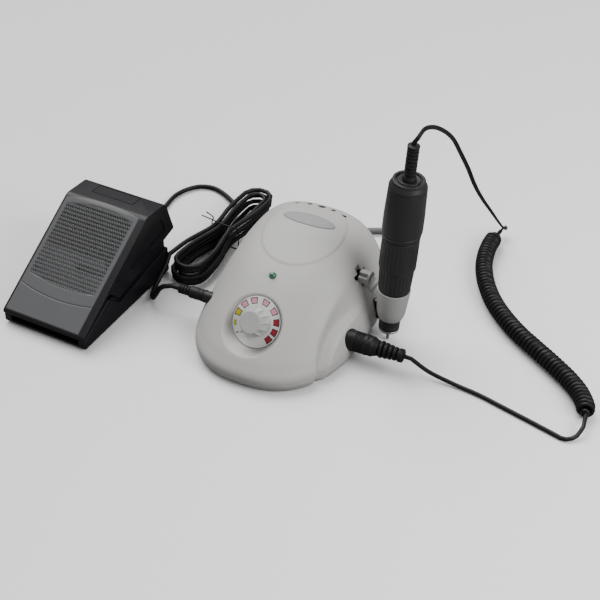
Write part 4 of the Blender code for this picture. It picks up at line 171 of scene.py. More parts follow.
MAINS_ROUTE = mm((43, 112, 9), (36, 130, 4.5), (26, 138.5, 3.4), (16.5, 136.6, 3.4), (1, 129.5, 3.4),
                 (-14, 126, 6), (-28, 124.7, 9.2))
MAINS_TAIL = mm((-27, 88.3, 3.6), (-19, 88.3, 5.8), (-13.5, 88.3, 6.7))
HANK_AT, HANK_TURN, HANK_STRAIGHT = (-0.0922, 0.0652), math.radians(85.9), 0.0489
# half width of the innermost loop and its growth per loop
HANK_REAR, HANK_FRONT, HANK_WAIST = (0.0064, 0.0050), (0.0083, 0.0057), (0.0024, 0.0046)
HANK_WAIST_REACH = 0.0220
HANK_LAYER, HANK_Z0, HANK_LAYERS = 0.0048, 0.0036, 4
HANK_TURNS, HANK_START, HANK_EXTRA = 1.25, 0.10, 0.25
MAINS_AT, MAINS_STRAIGHT, MAINS_LOOP = (-0.0410, FRONT_Y + BOX_D + 0.0315), 0.0070, (0.0107, 0.0060)
MAINS_LAYER, MAINS_TOP, MAINS_LAYERS, MAINS_TURNS, MAINS_START = -0.0060, 0.0090, 2, 1.25, 0.1178
TIE_R, TIE_CLEAR, TIE_END, TIE_SPLIT, TIE_CORNER = 0.0005, 0.0006, 0.0090, 0.0009, 0.0018

# Camera and lights
CAMERA_LENS, CAMERA_SENSOR, CAMERA_REACH = 84.12, 36.0, (0.01, 50.0)
CAMERA_AT, CAMERA_TURN = (0.3743, -0.7341, 0.6725), (51.7, 0.0, 26.5)
HIGH_LIGHT_AT, HIGH_LIGHT_ANGLE = (-0.45, 0.38, 1.0), math.radians(48)
FILL_LAMP_AT, FILL_LAMP_SIZE = (0.95, -0.10, 0.70), 0.7
LIGHTS_AIM = (0.05, 0.02, 0.03)
FLOOR_REACH, FLOOR_DROP = 3, 0.00002

# Turned outlines: radius, height and, where given, the corner's own rounding
MOTOR_PLUG = [
    *mm((0, -7), (5.8, -7), (5.8, 0), (7.4, 0), (7.8, 0.6), (7.8, 7.6)),
    *ribs(4, 7.8, 1.8, (7.1, 0), (7.1, 0.4), (7.8, 0.7), (7.8, 1.4)),
    *mm((7.8, 16.8), (7.2, 17.2), (7.2, 17.8), (7.6, 18.2), (7.5, 20.4), (6.6, 22), (5.7, 25), (4.4, 25.6)),
    *ribs(4, 26.2, 3.6, (4.2, 0), (6.4, 0.2), (6.3, 2.2), (4.1, 2.4), narrower=0.4),
    *mm((2.8, 40.6), (5.2, 40.8), (5.1, 44), (3, 44.7), (2.4, 45), (0, 45)),
]
JACK_PLUG = [
    *mm((0, -8), (3, -8), (3, 0), (4.1, 0), (4.6, 0.5), (4.6, 3), (4.3, 3.3), (4.3, 4), (4.6, 4.3),
        (4.6, 11.2), (3.8, 12)),
    *ribs(4, 12.2, 2.4, (2.8, 0), (3.8, 0.3), (3.7, 1.5), (2.8, 1.8)),
    *mm((2.6, 22), (0, 22)),
]
MAINS_GLAND = [
    (0, -0.0060), (GLAND_R, -0.0060), (GLAND_R, 0), (GLAND_FLANGE_R, 0), (GLAND_FLANGE_R, 0.0018),
    *ribs(5, 2.4, 3.4, (4, 0), (5.2, 0.4), (5, 2), (3.9, 2.4), narrower=0.4),
    (0.0030, GLAND_OUT - 0.0004), (0.0029, GLAND_OUT), (0, GLAND_OUT),
]
PEDAL_SLEEVE = [
    (0, -0.0050), (0.0034, -0.0050), (0.0034, GAP), (0.0050, GAP), (0.0050, 0.0014),
    *ribs(4, 1.6, 3, (2.7, 0), (3.5, 0.4), (3.4, 2), (2.7, 2.4)),
    (0.0024, EXIT_OUT), (0, EXIT_OUT),
]
TOOL_PIN = mm((0, -1.6), (1.175, -1.6), (1.175, 40), (0, 40))
NOSE_CONE = mm((1.6, 6.7), (2.3, 6.7), (2.7, 7.2), (6, 7.6), (7.1, 7.9), (7.6, 8.4), (7.6, 9.4), (7.3, 9.8),
               (5.6, 9.9), (5.6, 17.8), (1.6, 17.8))
NOSE_BAND = mm((5.9, 10.1), (7.6, 10.1), (7.85, 10.6), (7.85, 12.8), (7.6, 13.1), (7.6, 13.6), (7.85, 13.9),
               (7.85, 19), (7.4, 19.6), (5.9, 19.6))
GRIP_SLEEVE = mm((7.2, 19.9), (8.8, 24.5, 3), (10.6, 46.4, 0), (11.2, 46.4), (11.8, 47.2), (12.1, 52),
                 (12.8, 66.4, 0.4), (10.8, 66.4), (10.8, 93.4), (9.5, 93.4), (9.5, 66.4), (5, 65.8),
                 (5, 19.9))
LOCK_RING = mm((11.2, 66.8), (13.3, 66.8), (13.5, 67.2), (13.6, 80), (13.5, 93), (13.3, 93.4), (11.2, 93.4))
MOTOR_BODY = mm((4.8, 93.8), (13.3, 93.8), (13.7, 94.2), (14, 96.6), (14, 97.4), (13.7, 97.6), (13.7, 98.1),
                (14.3, 98.4), (14.55, 99.5, 2), (14.55, 111, 6), (13.7, 134.5, 0.3), (12.6, 134.5),
                (12.6, 96.4), (4.8, 96.4))
REAR_CAP = mm((0, 132.8), (12.2, 132.8), (12.2, 134.8), (13.6, 134.8), (13.7, 136.2, 1), (11.8, 139.6, 1),
              (11.7, 141), (11.3, 141.2), (9.6, 141.2), (9.4, 140.8), (9.4, 139.8), (8.1, 139.8), (8, 140.8),
              (7.7, 141.1), (5, 140.8), (0, 140.8))
PEDAL_HOLLOW = mm((64, 34.5, 3), (98.5, 57.5, 4), (110.5, 54.5, 4), (115, 41, 3))

ORIGIN = np.array(JOINTS["speed_turn"]["pos_m"]) - np.array(DIAL_AT)


# Number helpers
def unit(v):
    return v / np.linalg.norm(v, axis=-1, keepdims=True)


def ease(t):
    t = np.clip(t, 0.0, 1.0)
    return t * t * (3 - 2 * t)


def window(x, low, high, soft):
    """One between low and high, zero outside, with soft flanks."""
    return ease((x - low) / soft + 0.5) * ease((high - x) / soft + 0.5)


def soft_min(a, b, reach):
    """The lesser of two heights, blended where they are within reach of each other."""
    k = np.clip(0.5 + 0.5 * (b - a) / reach, 0, 1)
    return b * (1 - k) + a * k - reach * k * (1 - k)


def through(knots, values, at):
    """Cubic curve through values at knots, whose slope at a knot is that of its neighbours."""
    slopes = np.gradient(values, knots, axis=0)
    at = np.asarray(at, float)
    flat = at.ravel()
    i = np.clip(np.searchsorted(knots, flat, side="right") - 1, 0, len(knots) - 2)
    h = (knots[i + 1] - knots[i])[:, None]
    s = (flat - knots[i])[:, None] / h
    curve = (2 * s**3 - 3 * s**2 + 1) * values[i] + (s**3 - 2 * s**2 + s) * h * slopes[i]
    curve = curve + (3 * s**2 - 2 * s**3) * values[i + 1] + (s**3 - s**2) * h * slopes[i + 1]
    return curve.reshape(*at.shape, -1)


def run_of(points):
    return np.concatenate([[0], np.cumsum(np.linalg.norm(np.diff(points, axis=0), axis=1))])


# Surfaces: a part is (points, [faces by number of corners])
def woven(points, around=True, low="fan", high="fan", ring=False, low_point=None, high_point=None):
    """Grid of points (rows, columns) as four-sided faces. Ends close in a fan or one plate, or stay open."""
    rows, columns = points.shape[:2]
    number = np.arange(rows * columns).reshape(rows, columns)
    lower, upper = (number, np.roll(number, -1, 0)) if ring else (number[:-1], number[1:])
    quads = np.stack([lower, np.roll(lower, -1, 1), np.roll(upper, -1, 1), upper], -1)
    if not around:
        quads = quads[:, :-1]
    every, faces = [points.reshape(-1, 3)], [quads.reshape(-1, 4)]
    if not ring:
        for row, kind, point, way in ((number[0], low, low_point, -1), (number[-1], high, high_point, 1)):
            if kind == "fan":
                middle = sum(len(p) for p in every)
                tip = points.reshape(-1, 3)[row].mean(0) if point is None else point
                every.append(np.array(tip, float)[None])
                faces.append(np.stack([row, np.roll(row, -1), np.full(columns, middle)], -1)[:, ::way])
            elif kind == "plate":
                faces.append(row[None, ::way])
    return np.concatenate(every), faces


def eased(points, radius, steps=4, closed=False):
    """Profile whose corners become quadratic curves that start and end up to radius away from the corner."""
    p = [np.array(q[:2], float) for q in points]
    out = []
    for i, corner in enumerate(p):
        if not closed and i in (0, len(p) - 1):
            out.append(corner[None])
            continue
        before, after = p[i - 1] - corner, p[(i + 1) % len(p)] - corner
        lengths = np.linalg.norm(before), np.linalg.norm(after)
        bend = np.dot(before, after) / (lengths[0] * lengths[1])
        own = points[i][2] if len(points[i]) > 2 else radius
        if bend < -0.995 or own <= 0:
            out.append(corner[None])
            continue
        start = corner + before / lengths[0] * min(own, lengths[0] * 0.48)
        end = corner + after / lengths[1] * min(own, lengths[1] * 0.48)
        t = np.linspace(0, 1, steps + 1)[:, None]
        out.append((1 - t) ** 2 * start + 2 * t * (1 - t) * corner + t**2 * end)
    return np.concatenate(out)


def turned(profile, steps=64, shape=None):
    """Profile of (radius, height) points carried round Z; shape(angle, height) is added to the radius."""
    profile = np.asarray(profile, float)
    low, high = profile[0, 0] < 1e-9, profile[-1, 0] < 1e-9
    rows = profile[(1 if low else 0):(-1 if high else None)]
    angle = TAU * np.arange(steps) / steps
    r = rows[:, :1] + np.zeros(steps)
    if shape:
        r = r + shape(angle[None], rows[:, 1:2])
    points = np.stack([r * np.cos(angle), r * np.sin(angle), rows[:, 1:2] + 0 * r], -1)
    ends = [(0, 0, profile[k, 1]) for k in (0, -1)]
    low_end, high_end = ("fan" if shut else None for shut in (low, high))
    return woven(points, ring=not (low or high), low=low_end, high=high_end, low_point=ends[0],
                 high_point=ends[1])


def rod(r, low, high, steps=32, chamfer=0.0):
    profile = [(0, low), (r, low), (r, high), (0, high)]
    return turned(eased(profile, chamfer) if chamfer else profile, steps)


def even_rows(profile, spacing):
    """Profile with extra points, so that no two rows are further apart than spacing."""
    profile = np.asarray(profile, float)
    run = run_of(profile)
    extra = np.arange(0, run[-1], spacing)
    at = np.unique(np.concatenate([run, extra]).round(8))
    return np.stack([np.interp(at, run, profile[:, k]) for k in (0, 1)], -1)


def shrunk(outline, inset):
    """Outline moved inwards along its corners' normals."""
    before, after = unit(outline - np.roll(outline, 1, 0)), unit(np.roll(outline, -1, 0) - outline)
    normal = unit(np.stack([before[:, 1] + after[:, 1], -before[:, 0] - after[:, 0]], -1))
    reach = 1 / np.clip(normal[:, 0] * after[:, 1] - normal[:, 1] * after[:, 0], 0.5, None)
    return outline - normal * (inset * reach)[:, None]


def levelled(outline, height):
    return np.concatenate([outline, np.full((len(outline), 1), height)], 1)


def slab(outline, low, high, round_low=0.0, round_high=0.0, steps=3, to_space=None):
    """Outline (counter-clockwise) raised from low to high, whose two edges are quarter circles."""
    rows = []
    for level, radius, way in ((low, round_low, 1), (high, round_high, -1)):
        quarter = np.linspace(0, math.pi / 2, steps + 1) if radius else np.array([math.pi / 2])
        quarter = quarter if way == 1 else quarter[::-1]
        rows += [(radius * (1 - math.sin(q)), level + way * radius * (1 - math.cos(q))) for q in quarter]
    points = np.stack([levelled(shrunk(outline, inset) if inset else outline, w) for inset, w in rows])
    if to_space is not None:
        points = points @ np.array(to_space, float)
    return woven(points, low="plate", high="plate")


def rectangle(w, h, corner, steps=5, at=(0, 0)):
    """Outline of a rectangle with round corners, counter-clockwise."""
    q = np.linspace(0, math.pi / 2, steps + 1)
    out = [np.stack([sx * (w / 2 - corner) + corner * np.cos(q + a),
                     sy * (h / 2 - corner) + corner * np.sin(q + a)], -1)
           for sx, sy, a in ((1, 1, 0), (-1, 1, math.pi / 2), (-1, -1, math.pi), (1, -1, math.pi * 1.5))]
    return np.concatenate(out) + np.array(at)


def block(size, centre, corner=0.0):
    """Box with round upright edges."""
    sharp = np.array([(1, 1), (-1, 1), (-1, -1), (1, -1)]) * np.array(size[:2]) / 2
    outline = rectangle(size[0], size[1], corner) if corner else sharp
    return moved(slab(outline, -size[2] / 2, size[2] / 2, corner, corner), centre)


def moved(part, by):
    return part[0] + np.array(by, float), part[1]


def stood(part, stand):
    """Part carried into a frame: its place, and its three axes as the columns of a matrix."""
    return stand[0] + part[0] @ stand[1].T, part[1]


def lathe(profile, stand, steps=48, soft=0.0003, curve=3, closed=False):
    """Turned piece with softened corners, stood in its frame."""
    return stood(turned(eased(profile, soft, curve, closed), steps), stand)


def tube(path, radius, steps=12, section=None, spin=0.0):
    """Circle, or section(angle), carried along a path on frames that never twist, turned by spin along it."""
    path = np.asarray(path, float)
    way = unit(np.gradient(path, axis=0))
    side = np.zeros_like(path)
    side[0] = unit(np.cross(way[0], (0.31, 0.17, 0.93)))
    for i in range(1, len(path)):
        side[i] = side[i - 1] - way[i] * np.dot(side[i - 1], way[i])
        side[i] /= np.linalg.norm(side[i])
    other = np.cross(way, side)
    a = TAU * np.arange(steps) / steps
    r = np.broadcast_to(radius if section is None else section(a), (len(path), steps))
    turn = a[None] + (spin * run_of(path) / run_of(path)[-1])[:, None]
    u, v = (r * np.cos(turn))[..., None], (r * np.sin(turn))[..., None]
    return woven(path[:, None] + side[:, None] * u + other[:, None] * v)


def turn_of(*turns):
    """Matrix of turns about named axes, the last one first."""
    made = Matrix.Identity(3)
    for axis, angle in turns:
        made = made @ Matrix.Rotation(angle, 3, axis)
    return np.array(made)


# Frames of the pieces
BOX = (ORIGIN, np.identity(3))
DIAL = (ORIGIN + np.array(DIAL_AT), turn_of(("X", math.pi / 2 - DIAL_ELEVATION)))
HAND = (ORIGIN + TIP, turn_of(("Y", LEAN_RIGHT), ("X", LEAN_BACK)))
SOCKET = (ORIGIN + np.array(SOCKET_AT), turn_of(("Y", math.pi / 2)))
JACK = (ORIGIN + np.array(JACK_AT), turn_of(("Y", -math.pi / 2)))
PEDAL = (ORIGIN + np.array(PEDAL_AT), turn_of(("Z", PEDAL_TURN)))
PEDAL_MIDDLE = (PEDAL[0] + PEDAL[1] @ np.array((-PEDAL_W / 2, 0, 0)), PEDAL[1])
# Outline's right and up, and its height, as the box's and the pedal's axes
ACROSS = np.array(((0, 1, 0), (0, 0, 1), (1, 0, 0)), float)


# Meshes
def mesh_of(name, parts):
    points, faces, base = [], [], 0
    for part_points, sheets in parts:
        points.append(part_points)
        faces += [face for sheet in sheets for face in (sheet + base).tolist()]
        base += len(part_points)
    mesh = bpy.data.meshes.new(name)
    mesh.from_pydata(np.concatenate(points).tolist(), [], faces)
    mesh.update()
    return mesh


def worked(name, parts, join=(), cut=()):
    """Solid with others joined to it, and then others cut out of it."""
    body = bpy.data.objects.new(name, mesh_of(name, parts))
    bpy.context.scene.collection.objects.link(body)
    helpers, groups = [], []
    for operation, tools in (("UNION", join), ("DIFFERENCE", cut)):
        if not tools:
            continue
        group = bpy.data.collections.new(f"{name}_{operation.lower()}")
        groups.append(group)
        for i, tool in enumerate(tools):
            helper = bpy.data.objects.new(f"{name}_{operation.lower()}_{i}", mesh_of("helper", [tool]))
            bpy.context.scene.collection.objects.link(helper)
            group.objects.link(helper)
            helpers.append(helper)
        change = body.modifiers.new(operation.title(), "BOOLEAN")
        change.operation, change.solver = operation, "EXACT"
        change.operand_type, change.collection = "COLLECTION", group
    bpy.context.view_layer.update()
    mesh = bpy.data.meshes.new_from_object(body.evaluated_get(bpy.context.evaluated_depsgraph_get()))
    if not mesh.polygons:
        raise RuntimeError(f"{name} has no faces left")
    for old in [body, *helpers]:
        data = old.data
        bpy.data.objects.remove(old)
        bpy.data.meshes.remove(data)
    for group in groups:
        bpy.data.collections.remove(group)
    return mesh


def piece(name, shape, look, body, stands_for=(), crease=34, free=False):
    """Puts a shape in the scene with its finish, its body and the nodes that it stands for."""
    mesh = shape if isinstance(shape, bpy.types.Mesh) else mesh_of(name, shape)
    mesh.name = name
    mesh.materials.clear()
    mesh.materials.append(look)
    mesh.shade_smooth()
    mesh.set_sharp_from_angle(angle=math.radians(crease))
    made = bpy.data.objects.new(name, mesh)
    bpy.context.scene.collection.objects.link(made)
    if not free:
        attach(made, body)
    if stands_for:
        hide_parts(*stands_for)
    return made


# Shader maths
class Wire:
    """An output socket. Sums, differences, products and quotients of wires add Math nodes."""

    def __init__(self, nodes, socket):
        self.nodes, self.socket = nodes, socket

    def maths(self, operation, first, second):
        return self.nodes.add("ShaderNodeMath", {"operation": operation}, {0: first, 1: second})

    def __add__(self, other):
        return self.maths("ADD", self, other)

    def __sub__(self, other):
        return self.maths("SUBTRACT", self, other)

    def __rsub__(self, other):
        return self.maths("SUBTRACT", other, self)

    def __mul__(self, other):
        return self.maths("MULTIPLY", self, other)

    __radd__, __rmul__ = __add__, __mul__


class Finish:
    """A material whose nodes are added one by one, and whose last call is skin()."""

    def __init__(self, name):
        self.material = bpy.data.materials.new(name)
        self.material.use_nodes = True
        self.tree = self.material.node_tree
        self.shader = self.tree.nodes["Principled BSDF"]
        self.place = None

    def add(self, kind, settings=None, sockets=None, output=0):
        """One node: its settings first, then the values or wires of its sockets."""
        node = self.tree.nodes.new(kind)
        for key, value in (settings or {}).items():
            if key == "stops":
                while len(node.color_ramp.elements) < len(value):
                    node.color_ramp.elements.new(0.5)
                for stop, (at, grey) in zip(node.color_ramp.elements, value):
                    stop.position, stop.color = at, (grey, grey, grey, 1.0)
            else:
                setattr(node, key, value)
        for key, value in (sockets or {}).items():
            self.join(node.inputs[key], value)
        return Wire(self, node.outputs[output])

    def join(self, socket, value):
        if isinstance(value, Wire):
            self.tree.links.new(value.socket, socket)
        else:
            socket.default_value = value

    def at(self, scale=(1, 1, 1)):
        """Object coordinates, stretched by scale."""
        if self.place is None:
            self.place = self.add("ShaderNodeTexCoord", output=3)
        if tuple(scale) == (1, 1, 1):
            return self.place
        return self.add("ShaderNodeMapping", {"vector_type": "POINT"}, {0: self.place, 3: scale})

    def noise(self, size, detail=3.0, rough=0.5, scale=(1, 1, 1)):
        """Noise whose patches are about size metres across."""
        sockets = {"Vector": self.at(scale), "Scale": 1.0 / size, "Detail": detail, "Roughness": rough}
        return self.add("ShaderNodeTexNoise", None, sockets)

    def cells(self, size, feature="F1"):
        return self.add("ShaderNodeTexVoronoi", {"feature": feature},
                        {"Vector": self.at(), "Scale": 1.0 / size})

    def ramp(self, wire, *stops):
        return self.add("ShaderNodeValToRGB", {"stops": stops}, {0: wire})

    def mix(self, share, first, second):
        """Colour between two colours."""
        first, second = [value if isinstance(value, Wire) else (*value[:3], 1.0) for value in (first, second)]
        return self.add("ShaderNodeMix", {"data_type": "RGBA"}, {0: share, 6: first, 7: second}, 2)

    def bump(self, height, depth):
        return self.add("ShaderNodeBump", None, {"Height": height, "Distance": depth, "Strength": 1.0})

    def skin(self, **sockets):
        for key, value in sockets.items():
            name = key.replace("_", " ").title().replace("Ior", "IOR")
            if name == "Base Color" and not isinstance(value, Wire):
                value = (*value[:3], 1.0)
            self.join(self.shader.inputs[name], value)
        colour = sockets.get("base_color")
        if colour is not None and not isinstance(colour, Wire):
            self.material.diffuse_color = (*colour[:3], 1.0)
        return self.material


def shade(colour, by):
    return tuple(min(1.0, c * by) for c in colour[:3])


def moulded(name, colour, rough=0.42, grain=0.0006, depth=0.00003, mottle=0.05, coat=0.0, edge_wear_and_highlight=0.25,
            gloss=0.4):
    """Moulded plastic: fine grain, faint cloudiness, fine dust, and edges that shine a little more and are
    painted lighter, as rubbed wear and as a painted highlight.
    """
    look = Finish(name)
    cloud = look.noise(0.03, 4.0)
    fine = look.noise(grain, 2.0)
    dust = look.ramp(look.noise(0.0016, 3.0, 0.7), (0.66, 0.0), (0.78, 1.0))
    edge = look.ramp(look.add("ShaderNodeNewGeometry", output=7), (0.52, 0.0), (0.60, 1.0))
    base = look.mix(cloud, shade(colour, 1 - mottle), shade(colour, 1 + mottle))
    base = look.mix(dust * 0.10, base, shade(colour, 1.25))
    # edges painted lighter by pointiness: partly rubbed wear, partly a painted highlight
    base = look.mix(edge * edge_wear_and_highlight * look.noise(0.004, 4.0), base, [c * 1.3 + 0.02 for c in colour])
    return look.skin(base_color=base, roughness=rough + (cloud - 0.5) * 0.14 + fine * 0.05 - edge * 0.06,
                     specular_ior_level=gloss, coat_weight=coat, coat_roughness=0.12,
                     normal=look.bump(fine, depth))


def rubbery(name, colour, rough=0.62):
    """Rubber: matt, faintly cloudy, with pale handling dust and soft pits."""
    look = Finish(name)
    cloud, fine = look.noise(0.012, 5.0, 0.6), look.noise(0.0005, 3.0, 0.6)
    dust = look.ramp(look.noise(0.003, 5.0, 0.7), (0.50, 0.0), (0.75, 1.0))
    base = look.mix(cloud, shade(colour, 0.85), shade(colour, 1.25))
    base = look.mix(dust * 0.16, base, [c * 1.2 + 0.03 for c in colour])
    return look.skin(base_color=base, roughness=rough + (cloud - 0.5) * 0.2, specular_ior_level=0.25,
                     normal=look.bump(fine, 0.00004))


def ink(name, colour):
    """Printed ink: thin, satin, a little uneven."""
    look = Finish(name)
    cloud = look.noise(0.0015, 4.0, 0.6)
    return look.skin(base_color=look.mix(cloud, shade(colour, 0.90), shade(colour, 1.06)),
                     roughness=0.34 + cloud * 0.1,
                     normal=look.bump(cloud, 0.00001))


def machined(name, colour, rough, streak=(1, 1, 14), size=0.0006):
    """Bright metal with fine tool lines across streak's long axis, and faint tarnish."""
    look = Finish(name)
    lines = look.noise(size, 4.0, 0.6, streak)
    cloud = look.noise(0.008, 3.0)
    base = look.mix(cloud * 0.6 + lines * 0.4, shade(colour, 0.88), shade(colour, 1.12))
    return look.skin(base_color=base, metallic=1.0,
                     roughness=rough + (lines - 0.5) * 0.16 + (cloud - 0.5) * 0.1,
                     normal=look.bump(lines, 0.00001))


# Control box surface
def body_table():
    """Rows of the box's shape on a run along its skin, closed over the crown by its mirror image."""
    rows = np.array(BODY_SHARES)
    crown = np.array([[CROWN_SHARE, 0.0, CROWN_MIDDLE, CROWN_MIDDLE, CROWN_MIDDLE, 2.0, 2.0]])
    mirror = rows[::-1][:3].copy()
    mirror[:, 1] *= -1
    mirror[:, 2], mirror[:, 3] = 2 * CROWN_MIDDLE - mirror[:, 2], 2 * CROWN_MIDDLE - mirror[:, 3]
    whole = np.concatenate([rows, crown, mirror])
    steps = np.diff(whole, axis=0)
    rise, widening, deepening = steps[:, 0] * BOX_H, steps[:, 1] * BOX_W / 2, steps[:, 2] * BOX_D * 0.7
    run = np.sqrt(rise**2 + widening**2 + deepening**2 + 1e-12)
    return np.concatenate([[0], np.cumsum(run)]), whole, len(rows)


BODY_RUN, BODY_ROWS, CROWN_ROW = body_table()
CROWN_RUN = BODY_RUN[CROWN_ROW]


def body_at(run):
    return np.moveaxis(through(BODY_RUN, BODY_ROWS, run), -1, 0)


def run_at_height(z):
    runs = np.linspace(0, CROWN_RUN, 2000)
    return np.interp(np.asarray(z) / BOX_H, body_at(runs)[0], runs)


def valley(x, y, z):
    """Depth of the valley up the right side: soft from the ridge line down, then steep to the crease line."""
    along = y + x - 0.05
    ridge, crease = (through(np.array(line[0]), np.array(line[1])[:, None],
                             np.clip(along, line[0][0], line[0][-1]))[..., 0]
                     for line in (RIDGE_LINE, CREASE_LINE))
    share = (z - crease) / np.maximum(ridge - crease, 0.004)
    depth = VALLEY_DEPTH * (1 - ease((along - VALLEY_FADE[0]) / (VALLEY_FADE[1] - VALLEY_FADE[0])))
    flank = np.where(share < VALLEY_STEEP, share / VALLEY_STEEP,
                     1 - ease((share - VALLEY_STEEP) / (1 - VALLEY_STEEP)))
    foot = VALLEY_FOOT_SHARE + (1 - VALLEY_FOOT_SHARE) * ease(z / VALLEY_FOOT)
    return depth * np.clip(flank, 0, 1) * ease((along - RIDGE_LINE[0][0]) / 0.004 + 1) * foot


def body_skin(run, angle, inset=0.0):
    """Rings round the box at a run up its skin.

    A ring is two half super-ellipses that meet at the widest place, less the valley.
    """
    share, half, front, back, mid, power_front, power_back = body_at(run)
    z = share * BOX_H - inset * np.clip(share, 0, 1)
    y_mid = FRONT_Y + mid * BOX_D
    c, s = np.cos(angle), np.sin(angle)
    wide = np.maximum(half * BOX_W / 2 - inset, 1e-5)
    deep = np.maximum(np.where(s < 0, (mid - front) * BOX_D, (back - mid) * BOX_D) - inset, 1e-5)
    power = np.where(s < 0, power_front, power_back)
    r = ((np.abs(c) / wide) ** power + (np.abs(s) / deep) ** power) ** (-1 / power)
    x, y = r * c, y_mid + r * s
    x = x - np.where(x > 0, valley(x, y, z) * np.minimum(1, np.maximum(x, 0) / (wide * 0.6)) ** 2, 0)
    return np.stack([x, y, z + 0 * x], -1)


def well_height(r, spread=0.0, drop=0.0):
    """Height of the dial's well over the plate's plane: a flat floor, then a flank, then a steep wall."""
    floor = WELL_FLOOR_R - GAP + spread
    flank, wall = np.maximum(0, r - floor), np.maximum(0, r - WELL_RIM_R - spread)
    return -PLATE_T - GAP - drop + 2.2 * flank + 5.0 * wall


def dished(points, soft, spread=0.0, drop=0.0):
    """Pushes the skin down along the dial's axis into its well."""
    local = (points - np.array(DIAL_AT)) @ DIAL[1]
    r = np.hypot(local[..., 0], local[..., 1])
    sunk = soft_min(local[..., 2], well_height(r, spread, drop), soft)
    local[..., 2] = np.where(points[..., 1] < 0.02, np.minimum(local[..., 2], sunk), local[..., 2])
    return np.array(DIAL_AT) + local @ DIAL[1].T


def skin_height(x, y):
    """Height of the box's skin over a plan point, by halving the run until the point is on the ring."""
    x, y = np.broadcast_arrays(np.asarray(x, float), np.asarray(y, float))
    low, high = np.zeros(x.shape), np.full(x.shape, CROWN_RUN)
    for step in range(26):
        run = (low + high) / 2
        share, half, front, back, mid, power_front, power_back = body_at(run)
        y_mid = FRONT_Y + mid * BOX_D
        deep = np.maximum(np.where(y < y_mid, (mid - front) * BOX_D, (back - mid) * BOX_D), 1e-5)
        power = np.where(y < y_mid, power_front, power_back)
        wide = np.abs(x) + np.where(x > 0, valley(x, y, share * BOX_H), 0)
        across, along = wide / np.maximum(half * BOX_W / 2, 1e-5), np.abs(y - y_mid) / deep
        inside = across ** power + along ** power <= 1
        low, high = np.where(inside, run, low), np.where(inside, high, run)
    return body_at(low)[0] * BOX_H


LAMP_AT = (LAMP_X, LAMP_Y, float(skin_height(LAMP_X, LAMP_Y)))
LAMP = (ORIGIN + np.array(LAMP_AT), turn_of(("X", math.pi / 2 - LAMP_ELEVATION)))
GLAND_AT = (GLAND_X, FRONT_Y + float(body_at(run_at_height(GLAND_Z))[3]) * BOX_D, GLAND_Z)
GLAND = (ORIGIN + np.array(GLAND_AT), turn_of(("X", -math.pi / 2)))
PEDAL_EXIT = (PEDAL[0] + PEDAL[1] @ np.array(EXIT_AT), PEDAL[1] @ turn_of(("X", -math.pi / 2)))


# Cord routes
def smooth_line(points, spacing):
    """Points at an even spacing on the smooth curve through a route."""
    p = np.array(points, float)
    chord = np.concatenate([[0], np.cumsum(np.linalg.norm(np.diff(p, axis=0), axis=1) ** 0.5)])
    fine = through(chord, p, np.linspace(0, chord[-1], 24 * len(p)))
    run = run_of(fine)
    even = np.linspace(0, run[-1], max(4, int(round(run[-1] / spacing)) + 1))
    return np.stack([np.interp(even, run, fine[:, k]) for k in range(3)], -1)


def joined_route(start, start_way, route, end, end_way, lead):
    """Route whose first and last run leave along the given ways."""
    start, end, start_way, end_way = (np.array(v, float) for v in (start, end, start_way, end_way))
    inner = smooth_line([start + unit(start_way) * lead, *route, end + unit(end_way) * lead], 0.004)
    return np.concatenate([[start], inner, [end]])


def hank_line(at, turn, straight, rear, front, waist, waist_reach, layer, z0, layers, turns, start, extra=0.0,
              per_loop=48):
    """Loops of a flat coil, spiralling in and out, a layer higher after each reversal.

    A loop is two straight runs and two half circles. Its half width is first + loop number x growth, at the
    rear, at the front and at the waist, and a bell curve along the runs draws it in to the waist's.
    """
    total = layers * turns + extra
    t = np.linspace(0, total, int(round(total * per_loop)) + 1)
    lap = np.minimum(layers * turns - 1e-9, t)
    level = np.floor(lap / turns)
    part = lap / turns - level
    number = turns * np.where(level % 2 == 0, 1 - part, part) + np.maximum(0, t - layers * turns)
    rise = sum(ease((t - (j * turns - 0.25)) / 0.5) for j in range(1, layers))
    rear_r, front_r, waist_r = (first + number * growth for first, growth in (rear, front, waist))
    rear_arc, front_arc = (math.pi * (first + turns * growth / 2) for first, growth in (rear, front))
    run = 2 * straight
    s = (start + t) % 1.0 * (rear_arc + front_arc + 2 * run)
    q_front = math.pi / 2 + math.pi * (s - run) / front_arc
    q_rear = -math.pi / 2 + math.pi * (s - 2 * run - front_arc) / rear_arc
    places = [s < run, s < run + front_arc, s < 2 * run + front_arc]
    along = [straight - s, -straight + front_r * np.cos(q_front), -straight + s - run - front_arc]
    u = np.select(places, along, straight + rear_r * np.cos(q_rear))
    flank = front_r + (rear_r - front_r) * ease((u / straight + 1) / 2)
    pull = np.exp(-((u / waist_reach) ** 2)) if waist_reach else 0 * u
    flat = flank + (waist_r - flank) * pull
    v = np.select(places, [flat, front_r * np.sin(q_front), -flat], rear_r * np.sin(q_rear))
    c, n = math.cos(turn), math.sin(turn)
    return np.stack([at[0] + u * c - v * n, at[1] + u * n + v * c, z0 + rise * layer], -1)


def carried_on(points, radius):
    """Both ends carried on, straight and level, for one tube diameter."""
    first, last = points[0] - points[1], points[-1] - points[-2]
    first[2], last[2] = 0, 0
    return np.concatenate([[points[0] + unit(first) * 2 * radius], points,
                           [points[-1] + unit(last) * 2 * radius]])


HAND_UP = turn_of(("Y", LEAN_RIGHT), ("X", LEAN_BACK)) @ np.array((0, 0, 1.0))
COIL_AXIS = smooth_line(COIL_ROUTE, 0.0016)
COIL_WAYS = unit(np.gradient(COIL_AXIS, axis=0))


def upper_cord_path():
    start, end = TIP + HAND_UP * (RELIEF_TOP + GAP), COIL_AXIS[0] - COIL_WAYS[0] * GAP
    return joined_route(start, HAND_UP, UPPER_ROUTE, end, -COIL_WAYS[0], MOTOR_CORD_R)


